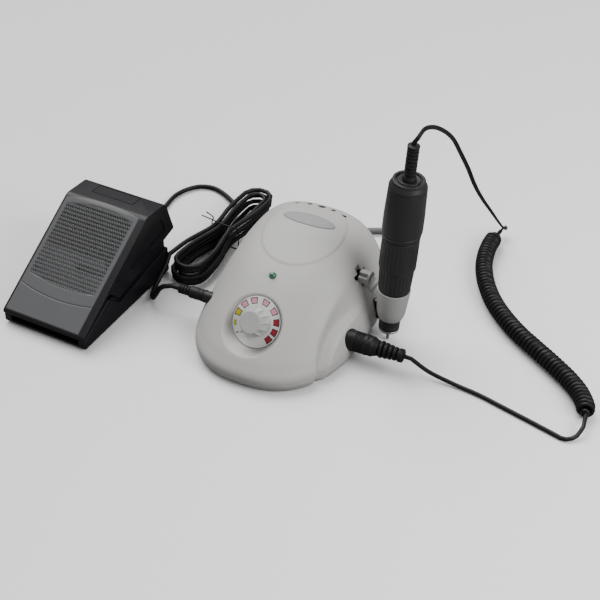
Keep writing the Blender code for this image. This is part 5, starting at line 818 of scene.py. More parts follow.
def curly_cord_path(curls, per_curl=18):
    """A helix round the coil's line that opens and closes over two turns, then the plain lower run."""
    run = run_of(COIL_AXIS)
    across = unit(np.stack([COIL_WAYS[:, 1], -COIL_WAYS[:, 0], 0 * COIL_WAYS[:, 0]], -1))
    up, lead = np.cross(across, COIL_WAYS), 4 * MOTOR_CORD_R
    i = np.arange(curls * per_curl + 1)
    s = lead + (run[-1] - 2 * lead) * i / i[-1]
    p, a, b = (np.stack([np.interp(s, run, m[:, k]) for k in range(3)], -1) for m in (COIL_AXIS, across, up))
    r = CURL_R * ease(np.minimum(i, i[-1] - i) / (2.0 * per_curl))
    turn = TAU * i / per_curl
    coil = p + (r * np.cos(turn))[:, None] * a + (r * np.sin(turn))[:, None] * b
    plug_end = np.array(SOCKET_AT) + np.array((PLUG_BODY_L + PLUG_TAIL_L + 2 * GAP, 0, 0))
    coil_end = COIL_AXIS[-1] + COIL_WAYS[-1] * GAP
    lower = joined_route(coil_end, COIL_WAYS[-1], LOWER_ROUTE, plug_end, (1, 0, 0), MOTOR_CORD_R * 3)
    return np.concatenate([COIL_AXIS[:1], coil, COIL_AXIS[-1:], lower[1:]])


def pedal_cord_path():
    hank = hank_line(HANK_AT, HANK_TURN, HANK_STRAIGHT, HANK_REAR, HANK_FRONT, HANK_WAIST, HANK_WAIST_REACH,
                     HANK_LAYER, HANK_Z0, HANK_LAYERS, HANK_TURNS, HANK_START, HANK_EXTRA)
    hank = carried_on(hank, PEDAL_CORD_R)
    exit_end = np.array(PEDAL_AT) + PEDAL[1] @ np.array((EXIT_AT[0], PEDAL_L + EXIT_OUT + GAP, EXIT_AT[2]))
    lead = joined_route(exit_end, PEDAL[1] @ np.array((0, 1, 0)), PEDAL_ROUTE, hank[0], hank[0] - hank[1],
                        PEDAL_CORD_R * 3)
    jack_end = np.array(JACK_AT) + np.array((-JACK_PLUG_L - JACK_PLUG_TAIL_L - 2 * GAP, 0, 0))
    tail = joined_route(jack_end, (-1, 0, 0), JACK_ROUTE, hank[-1], hank[-1] - hank[-2], PEDAL_CORD_R * 3)
    return np.concatenate([lead[:-1], hank, tail[::-1][1:]])


def mains_cord_path():
    hank = hank_line(MAINS_AT, 0.0, MAINS_STRAIGHT, MAINS_LOOP, MAINS_LOOP, MAINS_LOOP, 0,
                     MAINS_LAYER, MAINS_TOP, MAINS_LAYERS, MAINS_TURNS, MAINS_START)
    hank = carried_on(np.concatenate([hank, np.array(MAINS_TAIL)]), MAINS_CORD_R)
    gland_end = np.array(GLAND_AT) + np.array((0, GLAND_OUT + GAP, 0))
    lead = joined_route(gland_end, (0, 1, 0), MAINS_ROUTE, hank[0], hank[0] - hank[1], MAINS_CORD_R * 2)
    return np.concatenate([lead[:-1], hank])


def tie_path():
    """Wire tie round the waist of the hank, with two twisted ends."""
    wide = HANK_WAIST[0] + (HANK_TURNS + HANK_EXTRA) * HANK_WAIST[1] + PEDAL_CORD_R + TIE_CLEAR + TIE_R
    tall = HANK_Z0 + (HANK_LAYERS - 1) * HANK_LAYER + PEDAL_CORD_R + TIE_CLEAR + TIE_R
    low, corner, split, end = TIE_R + GAP / 3, TIE_CORNER, TIE_SPLIT, TIE_END
    v, z, w = np.array([
        (-wide - end, tall + split * 2, -split), (-wide * 0.7, tall + split, -split), (0, tall, -split),
        (wide - corner, tall, -split / 2), (wide, tall - corner, 0), (wide, low + corner, 0),
        (wide - corner, low, 0), (0, low, 0), (-wide + corner, low, 0), (-wide, low + corner, 0),
        (-wide, tall - corner * 1.4, split / 2), (-wide + corner * 0.6, tall + split * 2.2, split),
        (-wide - end * 0.6, tall + split * 6, split)]).T
    c, n = math.cos(HANK_TURN), math.sin(HANK_TURN)
    return np.stack([HANK_AT[0] + w * c + v * n, HANK_AT[1] + w * n - v * c, z], -1)


# Sizes and colours that a user would change
def metres(name, description, default):
    return FloatProperty(name=name, description=description, default=default, unit="LENGTH", precision=5)


def colour_of(name, description, default):
    return FloatVectorProperty(name=name, description=description, default=default, size=3, min=0.0, max=1.0,
                               subtype="COLOR")


class BoxSettings(bpy.types.PropertyGroup):
    colour: colour_of("Housing", "Colour of the box's shell and tray", (0.515, 0.507, 0.487))
    badge_colour: colour_of("Badge", "Colour of the bare badge", (0.30, 0.30, 0.31))
    lamp_colour: colour_of("Lamp", "Colour of the lamp's lens", (0.012, 0.11, 0.045))
    fitting_colour: colour_of("Fittings", "Colour of sockets, switch and gland", (0.010, 0.010, 0.011))
    columns: IntProperty(name="Columns", description="Points round the box's skin", default=400, min=80,
                         max=480)
    rows: IntProperty(name="Rows", description="Rings up the box's skin", default=180, min=40, max=220)
    rim_softness: metres("Well rim", "Reach of the soft rim round the dial's well", 0.0034)


class DialSettings(bpy.types.PropertyGroup):
    plate_colour: colour_of("Plate", "Colour of the dial's plate", (0.78, 0.78, 0.77))
    knob_colour: colour_of("Knob", "Colour of the speed knob", (0.50, 0.50, 0.49))
    low_colour: colour_of("Slow marks", "Colour of the marks for slow speeds", (0.60, 0.53, 0.02))
    middle_colour: colour_of("Middle marks", "Colour of the marks for middle speeds", (0.74, 0.36, 0.44))
    high_colour: colour_of("Fast marks", "Colour of the marks for fast speeds", (0.36, 0.012, 0.028))
    line_colour: colour_of("Mark outlines", "Colour of the lines round the marks", (0.03, 0.02, 0.025))
    ribs: IntProperty(name="Knob ribs", description="Ribs round the speed knob", default=12, min=6, max=24)
    knob_radius: metres("Knob radius", "Reach of the knob's ribs", 0.0110)
    cap_radius: metres("Cap radius", "Radius of the knob's flat top", 0.0086)


class HandpieceSettings(bpy.types.PropertyGroup):
    colour: colour_of("Body", "Colour of the handpiece's satin coat", (0.022, 0.022, 0.024))
    steel_colour: colour_of("Steel", "Colour of the nose and the tool pin", (0.62, 0.61, 0.60))
    cradle_colour: colour_of("Cradle", "Colour of the cradle", (0.40, 0.40, 0.39))
    flutes: IntProperty(name="Grip flutes", description="Fine flutes round the grip", default=28, min=12,
                        max=48)
    panels: IntProperty(name="Lock ring panels", description="Framed panels round the lock ring", default=4,
                        min=2, max=8)


class PedalSettings(bpy.types.PropertyGroup):
    colour: colour_of("Pedal", "Colour of the pedal's glossy plastic", (0.009, 0.009, 0.011))
    pad_colour: colour_of("Tread", "Colour of the dotted tread", (0.075, 0.076, 0.079))
    row_pitch: metres("Row pitch", "Distance between the tread's rows of dots", 0.0032)
    dot_pitch: metres("Dot pitch", "Distance between two dots of a row", 0.0021)
    dot_height: metres("Dot height", "How far the dots stand up", 0.0006)


class CordSettings(bpy.types.PropertyGroup):
    colour: colour_of("Cords", "Colour of the motor cord and the pedal cord", (0.008, 0.008, 0.009))
    mains_colour: colour_of("Mains cord", "Colour of the mains cord and its plug", (0.16, 0.16, 0.16))
    curls: IntProperty(name="Curls", description="Turns of the curly motor cord", default=64, min=36, max=72)


class StageSettings(bpy.types.PropertyGroup):
    floor_colour: colour_of("Floor", "Colour of the floor and the background", (0.665, 0.665, 0.665))
    floor_lift: FloatProperty(name="Floor lift", description="Brightness of the floor to the eye",
                              default=1.48, min=0.0)
    floor_bounce: FloatProperty(name="Floor bounce",
                                description="Brightness of the light that the floor throws back",
                                default=0.30, min=0.0)
    sun_strength: FloatProperty(name="High light",
                                description="Strength of the broad light from above and behind", default=2.85,
                                min=0.0)
    fill_power: FloatProperty(name="Fill lamp", description="Power of the lamp from the right", default=8.0,
                              min=0.0, unit="POWER")
    sky_strength: FloatProperty(name="Sky", description="Strength of the even light from all sides",
                                default=0.36, min=0.0)


class MicromotorOperator:
    """What all of the operators share."""
    bl_options = {"REGISTER", "UNDO"}

    def looks(self, context):
        return (getattr(context.scene, "micromotor_" + key) for key in self.uses)


class MICROMOTOR_OT_camera(MicromotorOperator, bpy.types.Operator):
    """Sets the camera at the photograph's place"""
    bl_idname, bl_label = "micromotor.camera", "Camera"

    def execute(self, context):
        lens = bpy.data.cameras.new("view")
        lens.lens, lens.sensor_width = CAMERA_LENS, CAMERA_SENSOR
        lens.clip_start, lens.clip_end = CAMERA_REACH
        camera = bpy.data.objects.new("view", lens)
        camera.location = ORIGIN + np.array(CAMERA_AT)
        camera.rotation_euler = [math.radians(angle) for angle in CAMERA_TURN]
        context.scene.collection.objects.link(camera)
        context.scene.camera = camera
        return {"FINISHED"}


class MICROMOTOR_OT_cords(MicromotorOperator, bpy.types.Operator):
    """Lays the motor cord, the pedal cord and the mains cord with their plugs"""
    bl_idname, bl_label = "micromotor.cords", "Cords and plugs"
    uses = ("cord",)

    def execute(self, context):
        settings, = self.looks(context)
        dark = settings.colour[:]
        sheath = moulded("cord_sheath", dark, 0.44, 0.0004, 0.00002, 0.12, edge_wear_and_highlight=0.0, gloss=0.28)
        mains = moulded("mains_sheath", settings.mains_colour[:], 0.5, 0.0004, 0.00002, 0.06, edge_wear_and_highlight=0.0)
        plastic = moulded("plug_plastic", dark, 0.46, 0.0005, 0.00003, 0.15, edge_wear_and_highlight=0.2, gloss=0.28)
        plug = lathe(MOTOR_PLUG, (SOCKET[0] + np.array((GAP, 0, 0)), SOCKET[1]), 64)
        round_plug = piece("round_plug", [plug], plastic, "root", ["motor_plug"])
        upper = upper_cord_path() + ORIGIN
        flat = [tube(upper, MOTOR_CORD_R, 24, self.twin, math.pi * 0.9)]
        flex = piece("motor_cord_high", flat, sheath, "root", ["motor_cord_upper"], free=True)
        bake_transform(flex)
        curly = curly_cord_path(settings.curls) + ORIGIN
        nodes = ["curly_cord", "motor_cord_lower"]
        coil = piece("motor_cord_curly", [tube(curly, MOTOR_CORD_R, 10)], sheath, "root", nodes)
        jack = lathe(JACK_PLUG, (JACK[0] - np.array((GAP, 0, 0)), JACK[1]), 40, 0.0002)
        jack_plug = piece("jack_plug", [jack], plastic, "root", ["pedal_plug"])
        lead = pedal_cord_path() + ORIGIN
        nodes = ["pedal_cord_lead", "pedal_cord_hank", "pedal_cord_tail"]
        flex = piece("pedal_cord", [tube(lead, PEDAL_CORD_R, 12)], sheath, "root", nodes)
        wire = tube(smooth_line(tie_path(), 0.0008) + ORIGIN, TIE_R, 8)
        tie = piece("hank_tie", [wire], plastic, "root", ["cord_tie"])
        cable = mains_cord_path() + ORIGIN
        way = unit(cable[-1] - cable[-2])
        heading = math.atan2(way[1], way[0])
        stand = (cable[-1] + way * GAP, turn_of(("Z", heading), ("Y", math.pi / 2), ("Z", math.pi / 2)))
        mains_plug = piece("mains_plug_body", self.mains_plug(stand), mains, "root",
                           ["mains_plug"])
        nodes = ["mains_cord_lead", "mains_cord_hank"]
        flex = piece("mains_cord", [tube(cable, MAINS_CORD_R, 14)], mains, "root", nodes)
        return {"FINISHED"}

    def twin(self, a):
        """Radius of two round cores side by side, bridged by a web."""
        core, apart, web = 0.00088, 0.00078, 0.00052
        round_core = np.sqrt(np.maximum(0, core**2 - (apart * np.cos(a)) ** 2))
        return np.maximum(web, apart * np.abs(np.sin(a)) + round_core)

    def mains_plug(self, stand):
        """Flat two-pin plug: super-ellipse sections that widen from the neck, and two round pins."""
        length, half_w, half_t, neck = 0.0260, 0.01175, 0.0064, 0.0045
        # share of the length, half width, half thickness
        table = np.array([
            (0.0, 0.0036, 0.0036), (0.03, neck, neck), (0.22, neck, neck),
                          (0.34, half_w * 0.55, half_t * 0.86),
            (0.45, half_w * 0.8, half_t * 0.95), (0.60, half_w * 0.94, half_t), (0.75, half_w, half_t),
            (0.97, half_w, half_t), (1.0, half_w * 0.95, half_t * 0.92)])
        shares = even_rows(table[:, :2], 0.02)[:, 0]
        w, t = (np.interp(shares, table[:, 0], table[:, k])[:, None] for k in (1, 2))
        a = TAU * np.arange(48) / 48
        c, s = np.cos(a)[None], np.sin(a)[None]
        x, y = (size * np.sign(q) * np.abs(q) ** 0.7 for size, q in ((w, c), (t, s)))
        points = np.stack([x, y, length * shares[:, None] + 0 * x], -1)
        pin = rod(0.0020, length - 0.002, length + 0.0190, 24, 0.0005)
        pins = [moved(pin, (side * 0.0093, 0, 0)) for side in (-1, 1)]
        return [stood(part, stand) for part in [woven(points), *pins]]


class MICROMOTOR_OT_shell(MicromotorOperator, bpy.types.Operator):
    """Makes the box's domed shell with its wall, dial well and openings"""
    bl_idname, bl_label = "micromotor.shell", "Box shell"
    uses = ("box",)

    def execute(self, context):
        settings, = self.looks(context)
        angle = np.linspace(-math.pi, math.pi, 4001)
        density = 1 + 1.5 * np.exp(-((angle + 1.62) / 0.62) ** 2)
        cumulative = np.concatenate([[0], np.cumsum((density[1:] + density[:-1]) / 2)])
        columns = np.interp(np.arange(settings.columns) / settings.columns * cumulative[-1], cumulative,
                            angle)
        low_run = float(run_at_height(TRAY_Z1 + GAP))
        runs = np.concatenate([low_run + np.array([0.0, 0.0003]),
                               np.linspace(low_run + 0.0008, CROWN_RUN - 0.0005, settings.rows)])
        outer = body_skin(runs[:, None], columns[None])
        outer[0] += (np.array((0, outer[0, :, 1].mean(), outer[0, 0, 2])) - outer[0]) * 0.004
        reach = np.hypot(outer[..., 0] / TRIM_X_REACH, (outer[..., 1] - TRIM_Y) / TRIM_Y_REACH)
        outer[..., 2] += TRIM_RISE * ease((1 - reach) / 0.055) * (outer[..., 2] > BOX_H * 0.5)
        outer = dished(outer, settings.rim_softness)
        crown = np.array((0, FRONT_Y + CROWN_MIDDLE * BOX_D, CROWN_SHARE * BOX_H + TRIM_RISE))
        inner_runs = np.concatenate([[0.0], np.linspace(low_run, CROWN_RUN - 0.003, 70)])
        inner = body_skin(inner_runs[:, None], (TAU * np.arange(200) / 200)[None], WALL)
        inner = dished(inner, 0.002, 0.0024, 0.0024)
        inner[0, :, 2] = TRAY_Z1 - 0.003
        cuts = [
            woven(inner),
            stood(rod(LAMP_R + GAP, -0.009, 0.009, 40), (np.array(LAMP_AT), LAMP[1])),
            stood(rod(DIAL_BORE_R + GAP, -0.008, 0.004, 32), (np.array(DIAL_AT), DIAL[1])),
        ]
        painted_shade_discs = []
        for k in range(-2, 3):
            r, stretch = VENT_SHAPES[min(abs(k), 1)]
            x, y = k * VENT_PITCH, VENT_Y - VENT_SAG * (k / 2) ** 2
            z = float(skin_height(x, y))
            # painted shade: a dark disc sunk in each vent to darken its hole
            painted_shade_discs.append(self.screen(x, y, (r - 0.0001) * stretch, r - 0.0001))
            rim = r + 0.0003
            hole = turned([(0, -0.012), (r, -0.012), (r, -0.0004), (rim, 0.0002), (rim, 0.006), (0, 0.006)],
                          24)
            cuts.append((hole[0] * np.array((stretch, 1, 1)) + np.array((x, y, z)), hole[1]))
        cuts.append(self.badge_recess())
        slot = CROSS_LONG + 2 * CROSS_CLEAR, CROSS_T + 2 * CROSS_CLEAR
        cuts += [block((0.016, long, tall), PEG) for long, tall in (slot, slot[::-1])]
        cuts += [
            self.fitting_hole(SOCKET_AT, SOCKET[1], SOCKET_BODY_R, SOCKET_R, -0.016, -SOCKET_LIP - GAP,
                              0.008),
            self.fitting_hole(JACK_AT, JACK[1], JACK_BODY_R, JACK_R, -0.014, -JACK_LIP - GAP, 0.008),
            self.fitting_hole(GLAND_AT, GLAND[1], GLAND_R, GLAND_FLANGE_R, -0.012, -0.0012, 0.004, 48),
        ]
        opening = rectangle(SWITCH_LONG - 0.0026, SWITCH_TALL - 0.0026, 0.001)
        spot = rectangle(SWITCH_LONG + 2 * GAP, SWITCH_TALL + 2 * GAP, 0.0014)
        cuts.append(moved(slab(opening, -0.012, 0.001, to_space=ACROSS), SWITCH_AT))
        cuts.append(moved(slab(spot, -0.0030, 0.004, to_space=ACROSS), SWITCH_AT))
        mesh = worked("box_shell", [woven(outer, high_point=crown)], cut=cuts)
        mesh.transform(Matrix.Translation(ORIGIN))
        look = moulded("box_housing", settings.colour[:], 0.44, 0.0007, 0.00002, 0.02, edge_wear_and_highlight=0.10)
        piece("box_shell", mesh, look, "root", ["upper_shell"], crease=30)
        # painted shade: near-black discs in the vents, which stand in for the shade inside the holes
        dark = rubbery("screen_black", (0.006, 0.006, 0.006), 0.8)
        piece("vent_screens", painted_shade_discs, dark, "root")
        return {"FINISHED"}

    def fitting_hole(self, at, turn, narrow, wide, low, step, high, steps=64):
        """Round hole for a fitting, wider above the step for its flange."""
        outline = [(0, low), (narrow + GAP, low), (narrow + GAP, step), (wide + GAP, step),
                   (wide + GAP, high), (0, high)]
        return stood(turned(outline, steps), (np.array(at), turn))
        return {"FINISHED"}

    def screen(self, x, y, wide, deep):
        """Thin dark oval a little below the skin in a vent: painted shade that darkens the vent's hole."""
        a, shares = TAU * np.arange(32) / 32, np.array((0.35, 0.7, 1.0))[:, None]
        x2, y2 = x + wide * shares * np.cos(a), y + deep * shares * np.sin(a)
        over = np.stack([x2, y2, skin_height(x2, y2) - 0.0004], -1)
        return moved(woven(np.concatenate([over - np.array((0, 0, 0.0008)), over[::-1]])), ORIGIN)

    def badge_recess(self):
        a, shares = TAU * np.arange(64) / 64, np.array((1.0, 0.66, 0.33))[:, None]
        x = (BADGE_HALF_X + GAP / 2) * np.cos(a) * shares
        y = BADGE_Y + (BADGE_HALF_Y + GAP / 2) * np.sin(a) * shares
        floor = np.stack([x, y, skin_height(x, y) + TRIM_RISE - 0.0005], -1)
        top = floor[:1] + np.array((0, 0, 0.004))
        return woven(np.concatenate([floor[::-1], top]), high="plate")


class MICROMOTOR_OT_tray(MicromotorOperator, bpy.types.Operator):
    """Makes the box's tray and its rubber feet"""
    bl_idname, bl_label = "micromotor.tray", "Tray and feet"
    uses = ("box",)

    def execute(self, context):
        settings, = self.looks(context)
        angle = (TAU * np.arange(220) / 220)[None]
        # height and inset, up the outside and down the inside
        rows = [
            (TRAY_Z0, 0.0030), (TRAY_Z0, 0.0008), (TRAY_Z0 + 0.0002, 0.0003), (TRAY_Z0 + 0.0008, 0.0),
            (0.0045, 0.0), (TRAY_Z1 - 0.0004, 0.0), (TRAY_Z1, 0.0003),
            (TRAY_Z1, WALL), (TRAY_Z0 + TRAY_FLOOR, WALL), (TRAY_Z0 + TRAY_FLOOR, 0.006)]
        rings = []
        for z, inset in rows:
            ring = body_skin(np.array([[float(run_at_height(max(z, TRAY_Z0)))]]), angle, inset)[0]
            ring[:, 2] = z
            rings.append(ring)
        look = moulded("box_tray", settings.colour[:], 0.5, 0.0007, 0.00003, 0.02, edge_wear_and_highlight=0.10)
        piece("box_tray", [stood(woven(np.stack(rings)), BOX)], look, "root", ["base_tray"])
        waist = FOOT_R - 0.0003
        foot = turned(eased([(0, 0), (FOOT_R, 0), (waist, 0.0022), (waist, 0.0030), (0, 0.0030)], 0.0005), 48)
        rubber = rubbery("foot_rubber", (0.028, 0.028, 0.031), 0.8)
        feet = [moved(foot, ORIGIN + np.array((sx * FOOT_X, y, 0))) for y in FOOT_YS for sx in (-1, 1)]
        nodes = ["foot_front_left", "foot_front_right", "foot_back_left", "foot_back_right"]
        piece("box_feet", feet, rubber, "root", nodes)
        return {"FINISHED"}


class MICROMOTOR_OT_dial(MicromotorOperator, bpy.types.Operator):
    """Makes the dial's plate, its coloured marks and the speed knob"""
    bl_idname, bl_label = "micromotor.dial", "Speed dial"
    uses = ("dial",)
    # speed and degrees round the dial
    marks = (("low", 168), ("middle", 140), ("middle", 111), ("middle", 77), ("middle", 44),
             ("high", 14), ("high", -13), ("high", -38))

    def execute(self, context):
        settings, = self.looks(context)
        profile = [(PLATE_HOLE_R, -PLATE_T), (PLATE_R, -PLATE_T), (PLATE_R, 0), (PLATE_HOLE_R, 0)]
        plate = lathe(profile, DIAL, 128, 0.00025, closed=True)
        white = moulded("dial_plate", settings.plate_colour[:], 0.34, 0.0005, 0.00001, 0.015, edge_wear_and_highlight=0.0)
        piece("dial_plate_printed", [plate], white, "root", ["dial_plate"])
        outlines = [self.sector(0.01335, 0.01805, a, 9.4, 0.00004) for _, a in self.marks]
        line_ink = ink("mark_line_ink", settings.line_colour[:])
        piece("dial_mark_lines", outlines, line_ink, "root")
        for key in ("low", "middle", "high"):
            filled = [self.sector(0.01388, 0.01752, a, 7.3, 0.00007) for kind, a in self.marks if kind == key]
            colour = getattr(settings, key + "_colour")[:]
            piece("dial_marks_" + key, filled, ink("mark_ink_" + key, colour), "root")
        sliver = [self.sector(0.01610, 0.01765, -163, 7.0, 0.00007)]
        piece("dial_mark_sliver", sliver, bpy.data.materials["mark_ink_low"], "root")
        ends = [self.sector(0.01560, 0.01780, -138, 1.3, 0.00006),
                self.sector(0.01570, 0.01620, -163, 7.6, 0.00005)]
        piece("dial_mark_ends", ends, line_ink, "root")
        self.knob(settings)
        return {"FINISHED"}

    def sector(self, low, high, angle, half, height):
        """Thin raised piece of a ring, between two radii and two angles."""
        a = np.radians(np.linspace(angle - half, angle + half, 9))
        outer, inner = (np.stack([r * np.cos(a), r * np.sin(a)], -1) for r in (high, low))
        return stood(slab(np.concatenate([outer, inner[::-1]]), 0.0, height), DIAL)

    def knob(self, settings):
        """Radius = scooped core + ribs. Both narrow upwards, and a rib is a bell curve in its own angle.

        The pointer is one more, narrower bell curve that ends above the foot and below the top.
        """
        reach, cap, ribs = settings.knob_radius, settings.cap_radius, settings.ribs
        steps = ribs * 22
        a = (TAU * np.arange(steps) / steps)[None]
        share = np.array([0.0, 0.02, 0.05, 0.10, 0.18, 0.28, 0.38, 0.48, 0.58, 0.68, 0.78, 0.86,
                          0.92])[:, None]
        pointer_at, pointer_wide = 0.28, 0.060
        core = cap - 0.0002 + 0.0020 * (1 - share) ** 1.7 - 0.0006 * np.sin(math.pi * share)
        rib_top = reach - (reach - cap) * share**1.6
        off = (a * ribs / TAU + 0.5) % 1.0 - 0.5
        ridge = np.exp(-(off / 0.105) ** 2)
        r = core + (rib_top - core) * ridge - 0.0004 * (share < 0.01)
        skirt = np.maximum(r, (reach - 0.0003) * (share < 0.12))
        r = np.where(share < 0.12, skirt, r)
        off = (a - pointer_at + math.pi) % TAU - math.pi
        pointer = np.exp(-((off / pointer_wide) ** 2)) * window(share, 0.03, 0.90, 0.10)
        r = r + (reach + 0.0010 - r) * pointer
        side = np.stack([r * np.cos(a), r * np.sin(a), KNOB_LIFT + KNOB_H * share + 0 * r], -1)
        rows = [side]
        for radius, drop in mm((0, 0.5), (0.1, 0.2), (0.4, 0), (1, -0.1), (2, -0.1), (5, 0)):
            flat = cap - radius + 0 * a
            rows.append(np.stack([flat * np.cos(a), flat * np.sin(a), KNOB_LIFT + KNOB_H - drop + 0 * a], -1))
        bore = rod(SHAFT_R + GAP, -0.004, KNOB_LIFT + 0.0080, 40)
        mesh = worked("speed_knob_ribbed", [woven(np.concatenate(rows))], cut=[bore])
        spun = Matrix.Translation(DIAL[0]) @ Matrix(DIAL[1]).to_4x4() @ Matrix.Rotation(KNOB_REST, 4, "Z")
        mesh.transform(spun)
        look = moulded("knob_plastic", settings.knob_colour[:], 0.36, 0.0006, 0.00002, 0.03, edge_wear_and_highlight=0.2)
        piece("speed_knob_ribbed", mesh, look, "speed_dial", ["speed_knob"])


class MICROMOTOR_OT_top_fittings(MicromotorOperator, bpy.types.Operator):
    """Makes the bare badge and the lamp's lens"""
    bl_idname, bl_label = "micromotor.top_fittings", "Badge and lamp"
    uses = ("box",)

    def execute(self, context):
        settings, = self.looks(context)
        a = (TAU * np.arange(96) / 96)[None]
        # share of the badge's half sizes, and height over the skin
        rows = np.array([
            (1.0, -0.0004), (1.0, 0.0001), (0.99, 0.00032), (0.965, 0.00045), (0.93, 0.0005), (0.8, 0.0005),
            (0.6, 0.0005), (0.4, 0.0005), (0.2, 0.0005)])
        share, height = rows[:, :1], rows[:, 1:2]
        x, y = BADGE_HALF_X * share * np.cos(a), BADGE_Y + BADGE_HALF_Y * share * np.sin(a)
        z = skin_height(x, y) + TRIM_RISE + height
        top = float(skin_height(0, BADGE_Y)) + TRIM_RISE + rows[-1, 1]
        badge = woven(np.stack([x, y, z], -1), high_point=(0, BADGE_Y, top))
        look = Finish("badge_pearl")
        flake, cloud = look.cells(0.00022), look.noise(0.006, 3.0)
        colour = settings.badge_colour[:]
        base = look.mix(flake * 0.5 + cloud * 0.5, shade(colour, 0.88), shade(colour, 1.2))
        pearl = look.skin(base_color=base, metallic=0.12, roughness=0.48 + flake * 0.12,
                          normal=look.bump(flake, 0.000015))
        piece("badge", [stood(badge, BOX)], pearl, "root", ["badge_plate"])
        dome = [(LAMP_R * math.cos(q), 0.0008 + 0.0017 * math.sin(q)) for q in np.linspace(0.15, 1.45, 9)]
        profile = [(0, -0.0045), (LAMP_R, -0.0045), (LAMP_R, 0.0008), *dome, (0, 0.0025)]
        look = Finish("lamp_lens")
        depth, colour = look.noise(0.0008, 2.0), settings.lamp_colour[:]
        green = look.skin(base_color=look.mix(depth, shade(colour, 0.6), shade(colour, 1.6)),
                          roughness=0.08 + depth * 0.08, specular_ior_level=0.6, coat_weight=1.0,
                          coat_roughness=0.03)
        piece("lamp_lens", [stood(turned(profile, 48), LAMP)], green, "root", ["led_lens"])
        return {"FINISHED"}


class MICROMOTOR_OT_side_fittings(MicromotorOperator, bpy.types.Operator):
    """Makes the two sockets, the mains switch and the mains gland"""
    bl_idname, bl_label = "micromotor.side_fittings", "Sockets, switch and gland"
    uses = ("box",)

    def execute(self, context):
        settings, = self.looks(context)
        black = settings.fitting_colour[:]
        satin = moulded("socket_plastic", black, 0.4, 0.0005, 0.00002, 0.15, edge_wear_and_highlight=0.25)
        motor = [(0, -0.0120), (SOCKET_BODY_R, -0.0120), (SOCKET_BODY_R, -SOCKET_LIP),
                 (SOCKET_R, -SOCKET_LIP),
                 (SOCKET_R, 0, 0.0006), (0.0066, 0.0002, 0.0003), *mm((6.2, -0.4), (6.2, -8.5), (0, -8.5))]
        piece("round_socket", [lathe(motor, SOCKET, 64, 0.0002, 4)], satin, "root",
              ["motor_socket"])
        jack = [(0, -0.0100), (JACK_BODY_R, -0.0100), (JACK_BODY_R, -JACK_LIP), (JACK_R, -JACK_LIP),
                (JACK_R, 0, 0.0005), (0.0040, 0.0002), (JACK_BORE_R, -0.0004), (JACK_BORE_R, -0.0086),
                (0, -0.0086)]
        piece("jack_socket", [lathe(jack, JACK, 48, 0.0002, 4)], satin, "root",
              ["pedal_socket"])
        glossy = moulded("switch_plastic", black, 0.26, 0.0008, 0.00001, 0.12, coat=0.3, edge_wear_and_highlight=0.2)
        surround = moved(self.surround(), ORIGIN + np.array(SWITCH_AT))
        piece("switch_surround", [surround], glossy, "root", ["switch_frame"])
        paddle = stood(self.paddle(), (ORIGIN + np.array(SWITCH_AT), turn_of(("Z", ROCKER_TILT))))
        piece("rocker_paddle", [paddle], glossy, "rocker", ["power_rocker"])
        rubber = rubbery("relief_rubber", black, 0.55)
        piece("mains_relief", [lathe(MAINS_GLAND, GLAND)], rubber, "root", ["mains_gland"])
        return {"FINISHED"}

    def surround(self):
        """Frame of the switch: its body behind the skin, then the lip, then back down inside."""
        outer = rectangle(SWITCH_LONG, SWITCH_TALL, 0.0016, 6)
        inner = rectangle(SWITCH_LONG - 0.0066, SWITCH_TALL - 0.0062, 0.0010, 6)
        body = rectangle(SWITCH_LONG - 0.0032, SWITCH_TALL - 0.0032, 0.0010, 6)
        rows = [
            (body, 0, -0.0120), (body, 0, 0.0), (outer, 0, 0.0), (outer, 0, SWITCH_LIP - 0.0010),
            (outer, 0.0003, SWITCH_LIP - 0.0003), (outer, 0.0010, SWITCH_LIP), (inner, -0.0004, SWITCH_LIP),
            (inner, 0, SWITCH_LIP - 0.0004), (inner, 0, -0.0060)]
        grid = np.stack([levelled(shrunk(line, inset), height) for line, inset, height in rows]) @ ACROSS
        return woven(grid, low="plate", high="plate")

    def paddle(self):
        """Rocker bent at its pivot, with a narrowing foot behind it."""
        half_long, half_tall = SWITCH_LONG / 2 - 0.00256, SWITCH_TALL / 2 - 0.00256
        rise, proud, low = math.tan(ROCKER_TILT) * half_long, SWITCH_LIP - 0.0010, -0.0045
        outline = [
            (-half_long, rise + proud), (0, proud, 0.003), (half_long, rise + proud),
                   (half_long * 0.92, low * 0.15),
            (half_long * 0.6, low), (-half_long * 0.6, low), (-half_long * 0.92, low * 0.15)]
        upright = ((0, 1, 0), (1, 0, 0), (0, 0, 1))
        return slab(eased(outline, 0.0005, 4, True)[::-1], -half_tall, half_tall, 0.0004, 0.0004,
                    to_space=upright)


